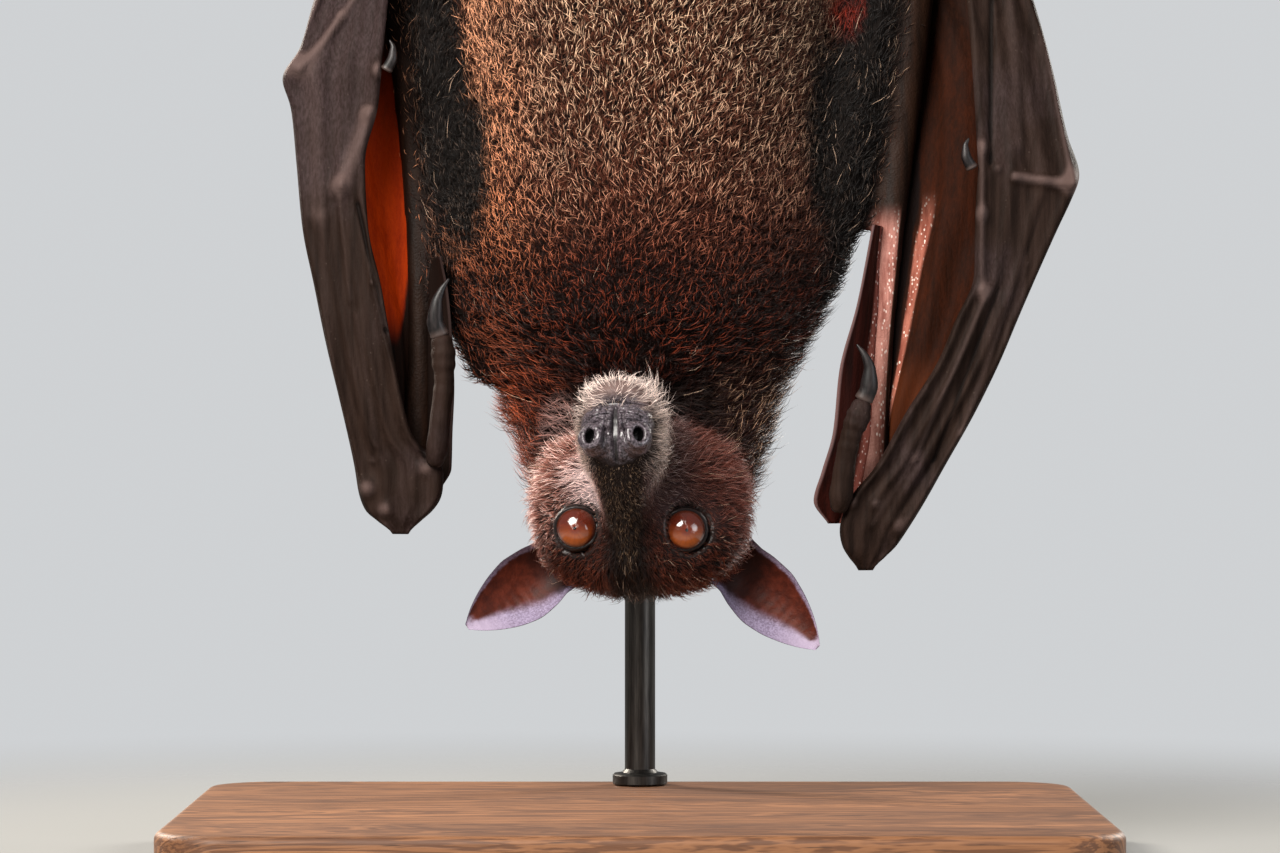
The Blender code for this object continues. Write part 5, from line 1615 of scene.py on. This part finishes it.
def make_claw(name, rows, flat, material, ends):
    """A curved claw with a low collar; tip runs from 0 at the root to 1."""
    count = 40
    rows = finer_rod(rows, count)
    t = np.linspace(0, 1, count)
    points, faces = rod(rows, 20, flat, ends, 1 + 0.05 * np.exp(-((t / 0.06) ** 2)))
    made = new_piece(name + "_horn", points, faces, material)
    nearest = ((points[:, None, :] - rows[None, :, :3]) ** 2).sum(-1).argmin(1)
    keep(made.data, "tip", nearest / (count - 1))
    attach(made, "root")
    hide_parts(name)


def make_claws():
    horn = horn_look()
    for side in SIDES:
        way = WAYS[side]
        make_claw("thumb_claw_" + side, above_crown(THUMB_CLAW[side]), 0.8, horn, (0.3, 0.9))
        make_claw("finger_claw_" + side, above_crown(FINGER_CLAW[side]), 0.8, horn, (0.3, 0.9))
        for i, spread in enumerate(TOE_SPREAD):
            path = toe_path(FOOT_X * way, spread, TOE_TO + 4.5, CLAW_TO, (1.9, 0.45), 24, -0.5)
            make_claw(f"toe_claw_{i + 1}_{side}", path, 1.0, horn, (0.1, 0.8))


def make_perch(material):
    """A short cut length of branch with ridged bark, two knots and sawn ends."""
    x = np.linspace(-BRANCH_HALF, BRANCH_HALF, 360)
    a = np.linspace(0, 2 * math.pi, 150, endpoint=False)
    grow = 0.5 * np.sin(x * 0.06) + 0.35 * np.sin(x * 0.13 + 1)
    knot = np.where(np.abs(x) < 52, 0, 2.2 * np.exp(-(((np.abs(x) - 84) / 9) ** 2)))
    grid_x, grid_a = np.meshgrid(x, a, indexing="ij")
    at = np.stack([grid_x * 0.05, np.cos(grid_a) * 3.2, np.sin(grid_a) * 3.2], -1).reshape(-1, 3)
    bark = 0.5 * np.abs(ripple(at * (1, 2, 2), 31)) + 0.35 * ripple(at * (3, 4, 4), 32)
    bark = (bark + 0.2 * ripple(at * (9, 8, 8), 33)).reshape(grid_x.shape)
    from_end = BRANCH_HALF - np.abs(grid_x)
    bark = bark * np.clip(from_end / 2.0, 0.15, 1)
    chamfer = 1.2 * np.clip(1 - from_end / 1.2, 0, 1)
    r = BRANCH_RADIUS - 1.05 + (grow + knot)[:, None] + 0.62 * bark - chamfer
    rings = np.stack([grid_x, BRANCH_Y + r * np.cos(grid_a), BRANCH_Z + r * np.sin(grid_a)], -1)
    ends = [(x_end, BRANCH_Y, BRANCH_Z) for x_end in (-BRANCH_HALF, BRANCH_HALF)]
    made = new_piece("branch", *tube(rings, *ends), material)
    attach(made, "root")
    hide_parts("perch")


def make_base(material):
    """The flat base with rounded corners and a soft top edge."""
    w, d, t = BASE_SIZE
    outline, ways = [], []
    for cx, cy, start in ((1, 1, 0), (-1, 1, 90), (-1, -1, 180), (1, -1, 270)):
        for k in range(13):
            a = math.radians(start + 7.5 * k)
            ways.append((math.cos(a), math.sin(a)))
            outline.append((cx * (w / 2 - BASE_CORNER), cy * (d / 2 - BASE_CORNER)))
    outline, ways = np.array(outline), np.array(ways)
    # height and how far in from the outline: a crisp foot, then a rounded top edge
    profile = [(0.0, 0.8), (0.25, 0.2), (0.8, 0.0), (t - BASE_EDGE, 0.0)]
    for a in np.linspace(0.2, math.pi / 2, 7):
        profile.append((t - BASE_EDGE + BASE_EDGE * math.sin(a), BASE_EDGE - BASE_EDGE * math.cos(a)))
    profile.append((t, 6.0))
    rings = []
    for z, inset in profile:
        ring = outline + ways * (BASE_CORNER - inset)
        rings.append(np.hstack([ring, np.full((len(ring), 1), float(z))]))
    made = new_piece("base_board", *tube(rings, (0, 0, 0), (0, 0, t)), material)
    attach(made, "root")
    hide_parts("stand_base")


def turned(name, node, rows, axis, centre, material):
    """A turned rod: rows of place along the axis and radius."""
    rings = []
    a = np.linspace(0, 2 * math.pi, 56, endpoint=False)
    first, second = [k for k in range(3) if k != axis]
    for place, r in rows:
        ring = np.zeros((len(a), 3))
        ring[:, first], ring[:, second] = np.cos(a) * r, np.sin(a) * r
        ring += np.array(centre)
        ring[:, axis] = place
        rings.append(ring)
    made = new_piece(name, *tube(rings, rings[0].mean(0), rings[-1].mean(0)), material)
    edge = made.modifiers.new("crisp", "EDGE_SPLIT")
    edge.split_angle = math.radians(40)
    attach(made, "root")
    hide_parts(node)


def make_stand():
    """The base, a post behind the bat with a foot collar, and an arm that ends in a cap on the branch."""
    make_base(board_look())
    metal = rod_look()
    t, top = BASE_SIZE[2], BRANCH_Z + 6.5
    post = [(t + 0.32, 8.6), (t + 0.7, 9.0), (t + 3.4, 9.0), (t + 4, 8.4), (t + 4.3, 6.0), (t + 5.4, 5.0)]
    post += [(top - 1.2, 5.0), (top - 0.4, 4.7), (top, 4.0)]
    turned("post_rod", "stand_post", post, 2, (0, POST_Y, 0), metal)
    start, end = POST_Y - 5.32, BRANCH_Y + BRANCH_RADIUS + 0.9
    arm = [(end, 7.8), (end + 0.4, 8.0), (end + 2.0, 8.0), (end + 2.5, 7.4), (end + 2.7, 4.5)]
    arm += [(start - 0.3, 4.5), (start, 4.3)]
    turned("arm_rod", "stand_arm", arm, 1, (0, 0, BRANCH_Z), metal)


# along F: tufts to a square millimetre, length, width, lift in degrees, curl
HEAD_TUFTS = [
    (-45, 1.3, 8.0, 0.32, 32, 0.2), (-20, 1.8, 7.0, 0.27, 32, 0.2), (-8, 2.3, 6.0, 0.23, 32, 0.2),
    (4, 3.1, 4.8, 0.19, 30, 0.18), (12, 3.3, 3.5, 0.17, 28, 0.15), (22, 3.1, 2.6, 0.18, 26, 0.25),
    (31, 3.2, 2.0, 0.17, 26, 0.25), (35.5, 2.4, 1.4, 0.16, 26, 0.2), (39.0, 0.0, 1.0, 0.16, 20, 0.2),
]


def head_tufts(p, head):
    """The tufts of the head, and how much each point belongs to the chin and to the muzzle's sides."""
    f, s, u = head_local(p).T
    tufts = between(HEAD_TUFTS, f)
    cheek = rise(u, -4, -16) * rise(f, 28, 8) * head
    tufts[:, 1] += cheek * 2.4
    tufts[:, 3] += cheek * 10
    chin = rise(u, -18, -26) * rise(f, 6, 18) * head
    long = 5.4 + 1.6 * rise(np.abs(s), 3, 9) + 3.2 * rise(s, 2, 9)
    for k, value in enumerate((1.5, long, 0.145, 44)):
        tufts[:, k] = tufts[:, k] * (1 - chin) + chin * value
    mouth = np.exp(-(((u + 24.6) / 1.2) ** 2)) * rise(f, 20, 30)
    tufts[:, 0] *= 1 - 0.9 * mouth
    fuzz = rise(np.abs(s), 6.2, 8.4) * rise(f, 8, 20) * (1 - rise(u, -12, -6)) * (1 - chin) * head
    tufts[:, 1] += fuzz * (2.2 + 2.4 * rise(s, 0, 6)) * rise(f, 8, 26)
    tufts[:, 3] += fuzz * 24
    for at in EYES.values():
        gap = lengths(p - at)
        tufts[:, 0] *= rise(gap, 7.2, 7.6)
        close = 1 - rise(gap, 9, 17)
        tufts[:, 1] = tufts[:, 1] * (1 - 0.55 * close)
        tufts[:, 3] = tufts[:, 3] * (1 - 0.35 * close)
    return tufts, chin[:, None], fuzz[:, None]


def head_lie(p, chin, fuzz):
    """The way the head's coat lies: away from the nose, down the beard, outwards beside the muzzle."""
    _, s, u = head_local(p).T
    nose = HEAD_AT + 46 * HEAD_F - 14 * HEAD_U
    lie = units(p - nose) + 0.4 * np.outer(np.sign(s) * rise(np.abs(s), 3, 16), SIDE)
    lie += 0.5 * np.outer(ripple(p * 0.11, 43), SIDE) + 0.4 * np.outer(ripple(p * 0.11, 44), HEAD_U)
    beard = units(np.outer(s, SIDE) * 1.4 + np.outer(u + 22, HEAD_U)) + 0.1 * HEAD_F
    away = np.outer(np.sign(s), SIDE) - 0.35 * HEAD_F + 0.25 * np.outer(u + 16, HEAD_U) / 8
    lie = lie * (1 - fuzz * 0.8) + away * fuzz * 0.8
    return lie * (1 - chin) + beard * chin


def coat_plan(p, n):
    """For each point of the skin: which part it belongs to, its tufts, and the way they lie.

    The tufts are their number to a square millimetre, length, width, lift in degrees and curl.
    """
    part = Regions(p)
    x, y, z = p.T
    torso = part.share["torso"]
    neck = rise(z, 176, 156) * (1 - part.head) * torso
    back = rise(n[:, 1], -0.05, 0.5)
    edge = rise(np.abs(n[:, 0]), 0.5, 0.9)
    on_head, chin, fuzz = head_tufts(p, part.head)
    on_trunk = [2.3 - 1.6 * back, 5.4 + 4.0 * back, 0.27 + 0.37 * back, 44 - 20 * back, 0.34 - 0.2 * back]
    on_neck = [1.35 + 0 * x, 8.6 + 3.4 * edge, 0.30 + 0 * x, 34 + 8 * edge, 0.26 + 0 * x]
    fields = [
        (torso * (1 - part.head) * (1 - neck / np.maximum(torso, 1e-3)), np.stack(on_trunk, 1)),
        (neck, np.stack(on_neck, 1)),
        (part.head * torso, on_head),
        (part.share["upper_arm"], np.array([0.95, 6.4, 0.33, 22, 0.3])),
        (part.share["thigh"], np.array([0.75, 7.0, 0.46, 24, 0.4])),
        (part.share["shank"], np.array([0.8, 3.6, 0.36, 18, 0.3])),
        (part.share["forearm"], np.array([0.0, 3.0, 0.3, 15, 0.2])),
    ]
    tufts = sum(values * share[:, None] for share, values in fields)
    tufts /= sum(share for share, _ in fields)[:, None]
    out = units(np.stack([x, 0.6 * (y - 4), 0 * z], 1))
    lie_neck = out * 0.9 + np.array([0, 0, 0.3]) + 0.4 * np.outer(ripple(p * 0.08, 45), (0, 0, 1))
    swirl = ripple(p * 0.03, 41) + 0.8 * ripple(p * 0.10, 42)
    lie_trunk = np.stack([0.5 * swirl + 0.15, 0 * x, np.ones_like(x)], 1)
    head, neck = (part.head * torso)[:, None], neck[:, None]
    lie = lie_trunk * (1 - neck - head) + lie_neck * neck + head_lie(p, chin, fuzz) * head
    lie -= (lie * n).sum(1)[:, None] * n
    return part, tufts, units(lie)


def scatter(mesh, dense, luck):
    """Faces and shares of their corners for tufts spread evenly by area and density."""
    tri, p = triangles_of(mesh), points_of(mesh)
    a, b, c = p[tri[:, 0]], p[tri[:, 1]], p[tri[:, 2]]
    area = lengths(np.cross(b - a, c - a)) / 2
    many = np.cumsum(area * dense[tri].mean(1))
    count = int(many[-1])
    at = (np.arange(count) + luck.random(count)) * (many[-1] / count)
    face = np.minimum(np.searchsorted(many, at), len(tri) - 1)
    share = luck.dirichlet((1, 1, 1), count)
    return tri[face], share


def leaders(root, luck, share):
    """For each root the nearest of a few chosen ones, towards which its tip leans."""
    chosen = luck.choice(len(root), max(len(root) // share, 1), replace=False)
    tree = KDTree(len(chosen))
    for k in chosen:
        tree.insert(root[k], int(k))
    tree.balance()
    return np.array([tree.find(p)[1] for p in root])


def tuft_lines(root, normal, lie, size, pale, luck, rings, clump):
    """For each tuft the places along its middle, its way from each, and its width."""
    count = len(root)
    long, wide, lift, curl = size.T
    long = long * luck.normal(1, 0.22, count).clip(0.5, 1.7) * np.where(pale, 1.2, 1)
    wide = wide * np.where(pale, 0.42, 1)
    curl = curl * np.where(pale, 0.3, 1)
    wide = wide * luck.uniform(0.75, 1.25, count)
    lift = np.radians(lift * luck.normal(1, 0.28, count).clip(0.3, 1.8))
    turn = luck.normal(0, 0.25 + 1.6 * curl, count)
    bend = luck.normal(0, 0.16 + 0.7 * curl, count)
    cross = np.cross(normal, lie)
    at = root - 0.35 * normal
    spots, ways = [at], []
    for k in range(rings):
        high = lift * (1.5 - 1.15 * k / max(rings - 1, 1)) + luck.normal(0, 0.12, count) * curl
        side = turn + bend * (k / rings - 0.3)
        flat = np.cos(side)[:, None] * lie + np.sin(side)[:, None] * cross
        ways.append(np.cos(high)[:, None] * flat + np.sin(high)[:, None] * normal)
        at = at + ways[-1] * (long / rings)[:, None]
        spots.append(at)
    leader = leaders(root, luck, 7)
    for k in range(1, rings + 1):
        pull = clump * (k / rings) * np.where(pale, 0.2, 1.0)[:, None]
        spots[k] = spots[k] + pull * (spots[k][leader] + 0.35 * (root - root[leader]) - spots[k])
    return spots, ways, wide


def tuft_faces(rings):
    """The triangles of one three-sided tuft: its rings of three points, then its tip."""
    faces = []
    for k in range(rings - 1):
        for i in range(3):
            j = (i + 1) % 3
            a, b, c, d = k * 3 + i, k * 3 + j, k * 3 + 3 + j, k * 3 + 3 + i
            faces += [(a, b, c), (a, c, d)]
    last = (rings - 1) * 3
    return faces + [(last + i, last + (i + 1) % 3, last + 3) for i in range(3)]


# a tuft's width at its rings, as a share
TAPER = {3: (0.55, 0.5, 0.32), 2: (0.55, 0.42)}


def grow_tufts(name, material, root, normal, lie, size, luck, limb, unwrap, rings, clump, guard):
    """One coat piece of solid three-sided tufts, curved, pointed, and laid along the body."""
    count = len(root)
    pale = luck.random(count) < guard
    own = np.where(pale, 1.2, luck.random(count))
    spots, ways, wide = tuft_lines(root, normal, lie, size, pale, luck, rings, clump)
    layers = []
    for spot, way, share in zip(spots, ways, TAPER[rings]):
        side = units(np.cross(way, normal), 1e-4)
        over = np.cross(side, way)
        for a in np.radians([90, 210, 330]):
            offset = math.cos(a) * side + 0.6 * math.sin(a) * over
            layers.append(spot + offset * (wide * share)[:, None])
    points = np.stack([*layers, spots[-1]], axis=1)
    each = points.shape[1]
    starts = (np.arange(count) * each)[:, None, None]
    whole = (np.array(tuft_faces(rings))[None] + starts).reshape(-1, 3)
    made = mesh_of(name, points.reshape(-1, 3), whole)
    level = np.append(np.repeat(np.arange(rings) / rings, 3), 1.0)
    keep(made.data, "tip", np.tile(level, count))
    keep(made.data, "luck", np.repeat(own, each))
    keep(made.data, "limb", np.repeat(limb, each))
    around = np.append(np.tile(np.arange(3) / 3, rings), 0.5)
    patch = np.stack([around, level], 1) * 0.003
    spread = (unwrap[:, None, :] + patch[None]).reshape(-1, 2)
    layer = made.data.uv_layers.new(name="OFBake")
    layer.uv.foreach_set("vector", spread[whole.ravel()].astype(np.float32).ravel())
    made.data.materials.append(material)
    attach(made, "root")


def unwrap_of(root, limb, head):
    """A place for each root on an unwrap of torso, head and limbs."""
    f, s, u = head_local(root).T
    x, y, z = root.T
    turn = np.arctan2(x, -(y - 8)) / (2 * math.pi) + 0.5
    on_torso = np.stack([turn, (z - 100) / 260], 1)
    on_head = np.stack([np.arctan2(s, u + 10) / (2 * math.pi) + 0.5, (f + 46) / 92], 1)
    on_limb = np.stack([turn * 0.5 + (x > 0) * 0.5, (z - 80) / 420], 1)
    spot = np.where(limb[:, None] > 0.5, on_limb, np.where(head[:, None] > 0.5, on_head, on_torso))
    return 0.004 + np.clip(spot, 0, 1) * 0.988


# of each coat piece: rings of a tuft, how far tufts clump, share of pale guard hairs
COAT = {
    "coat_face": (2, 0.25, 0.01), "coat_crown_and_cheeks": (3, 0.55, 0.015),
    "coat_ruff_left": (3, 0.5, 0.002), "coat_ruff_right": (3, 0.5, 0.004),
    "coat_arms": (2, 0.4, 0.01), "coat_legs": (2, 0.22, 0.002), "coat_back": (2, 0.35, 0.002),
}
FRONT_COAT = (2, 0.22, 0.002)
# the front of the trunk, from and to which height
FRONT_PARTS = {"chest": (168, 222), "belly": (222, 276), "lap": (276, 400)}


def make_coat(skin, material):
    """The coat, grown from the skin in pieces named for where they lie."""
    luck = np.random.default_rng(11)
    p, n = points_of(skin), normals_of(skin)
    part, plan, lie = coat_plan(p, n)
    share = 1.0
    tri, corner = scatter(skin, plan[:, 0] * share, luck)

    def at(values):
        return np.einsum("ij,ij...->i...", corner, values[tri])

    root, normal, way, size = at(p), at(n), at(lie), at(plan[:, 1:])
    normal = units(normal)
    way = units(way - (way * normal).sum(1)[:, None] * normal)
    limb = at(part.share["upper_arm"] + part.share["thigh"] + part.share["shank"])
    head = at(part.head)
    spots = unwrap_of(root, limb, head)
    x, _, z = root.T
    on_limb = limb >= 0.5
    on_head, on_body = ~on_limb & (head > 0.5), ~on_limb & (head <= 0.5)
    ahead, behind = head_local(root)[:, 0] > 2, normal[:, 1] > 0.25
    ruff, trunk = on_body & (z < 168), on_body & (z >= 168)
    places = {
        "coat_face": on_head & ahead,
        "coat_crown_and_cheeks": on_head & ~ahead,
        "coat_ruff_left": ruff & (x < 0),
        "coat_ruff_right": ruff & (x >= 0),
        "coat_arms": on_limb & (z < 330),
        "coat_legs": on_limb & (z >= 330),
        "coat_back": trunk & behind,
    }
    for name, (low, high) in FRONT_PARTS.items():
        for side, on_side in (("left", x < 1), ("right", x >= 1)):
            places[f"coat_{name}_{side}"] = trunk & ~behind & on_side & (z >= low) & (z < high)
    for name, where in places.items():
        hair = (root[where], normal[where], way[where], size[where], luck, limb[where], spots[where])
        grow_tufts(name, material, *hair, *COAT.get(name, FRONT_COAT))


def area_light(name, at, target, size, power, colour):
    """A round soft light turned to a target."""
    light = bpy.data.lights.new(name, "AREA")
    light.shape, light.size, light.energy, light.color = "DISK", size, power, colour
    light.spread = math.radians(75)
    lamp = bpy.data.objects.new(name, light)
    bpy.context.scene.collection.objects.link(lamp)
    lamp.location = at
    way = np.array(target) - np.array(at)
    lamp.rotation_euler = (math.atan2(math.hypot(way[0], way[1]), -way[2]), 0, math.atan2(-way[0], way[1]))


def make_studio():
    """A plain floor, a soft key from the upper left, a weak fill, and two lights from behind."""
    a = np.linspace(0, 2 * math.pi, 96, endpoint=False)
    rings = []
    for r in (300, 900, 1800, 3000, 4600):
        rings.append(np.stack([r * np.cos(a), r * np.sin(a), 0 * a - FLOOR_DROP], 1))
    floor = mesh_of("floor", *tube(rings, (0, 0, -FLOOR_DROP)))
    floor.data.materials.append(floor_look())
    world = bpy.data.worlds.new("studio")
    bpy.context.scene.world = world
    world.use_nodes = True
    tree = world.node_tree
    sky = tree.nodes["Background"]
    sky.inputs[0].default_value = (0.80, 0.82, 0.84, 1)
    seen = tree.nodes.new("ShaderNodeLightPath")
    # the backdrop is brighter to the camera than it lights the bat
    level = tree.nodes.new("ShaderNodeMapRange")
    level.inputs[3].default_value, level.inputs[4].default_value = 0.22, 0.78
    tree.links.new(seen.outputs["Is Camera Ray"], level.inputs[0])
    tree.links.new(level.outputs[0], sky.inputs[1])
    area_light("key", (-0.62, -1.15, 0.98), (0, 0, 0.22), 1.0, 12, (1.0, 0.96, 0.9))
    area_light("fill", (1.3, -1.0, 0.35), (0, 0, 0.2), 0.9, 1.7, (0.92, 0.96, 1.0))
    area_light("rim_left", (-0.85, 0.75, 0.7), (0, 0, 0.2), 0.3, 5, (1.0, 0.93, 0.82))
    area_light("rim_right", (0.9, 0.8, 0.6), (0, 0, 0.2), 0.4, 3.5, (1.0, 0.97, 0.9))


def make_camera():
    """A long lens straight ahead of the bat, level with the middle of the picture."""
    view = bpy.data.cameras.new("view")
    view.lens, view.sensor_width = 127, 36
    view.clip_start, view.clip_end = 0.05, 60
    camera = bpy.data.objects.new("view", view)
    bpy.context.scene.collection.objects.link(camera)
    camera.location = (0, -1.4, 0.1359)
    camera.rotation_euler = (math.radians(90), 0, 0)
    bpy.context.scene.camera = camera
    bpy.context.scene.view_settings.view_transform = "Standard"


def beside_arm(p):
    """How far each point lies beside the forearm's middle, in the forearm's radius."""
    beside = np.zeros(len(p))
    for side in SIDES:
        x, _, radius = between(above_crown(FOREARM[side])[:, [2, 0, 1, 3]], p[:, 2]).T
        mine = p[:, 0] * x > 0
        beside[mine] = ((p[:, 0] - x) / radius)[mine]
    return beside


def make_bat(nodes):
    """One skin for all the flesh, then the eyes, the claws and the coat."""
    body = make_body(nodes)
    coat_from = body.copy()
    p = points_of(body)
    part = Regions(p)
    limb = sum(part.share[k] for k in ("upper_arm", "thigh", "shank"))
    hide, wing, ear = hide_look(), wing_look(), ear_look()
    stored = {"limb": limb, "bare": part.share["forearm"], "arm_side": beside_arm(p)}
    pieces = [(body, stored, hide), (make_nose(), {}, hide)]
    pieces += [(make_lids(side), {}, hide) for side in SIDES]
    for side in SIDES:
        for make in (make_hand, make_membrane, make_front_skin, make_thumb, make_foot):
            points, faces, stored = make(side)
            pieces.append(((points, faces), stored, wing))
        points, faces, stored = make_ear(side)
        pieces.append(((points, faces), stored, ear))
    skin = joined("skin", pieces)
    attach(skin, "root")
    flesh = [n for n in nodes if not n.startswith(("eye", "stand", "perch")) and "claw" not in n]
    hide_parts(*flesh)
    wet = eye_look()
    for side in SIDES:
        make_eye(side, wet)
    make_claws()
    make_coat(coat_from, coat_look())
    bpy.data.meshes.remove(coat_from)


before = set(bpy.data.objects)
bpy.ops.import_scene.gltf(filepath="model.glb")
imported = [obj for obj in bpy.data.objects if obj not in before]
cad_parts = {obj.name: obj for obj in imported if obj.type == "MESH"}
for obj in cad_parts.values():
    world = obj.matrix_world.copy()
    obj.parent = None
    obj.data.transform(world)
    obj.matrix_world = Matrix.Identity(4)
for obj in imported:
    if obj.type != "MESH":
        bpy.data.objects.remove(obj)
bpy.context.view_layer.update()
make_bat(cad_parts)
make_perch(bark_look())
make_stand()
make_studio()
make_camera()
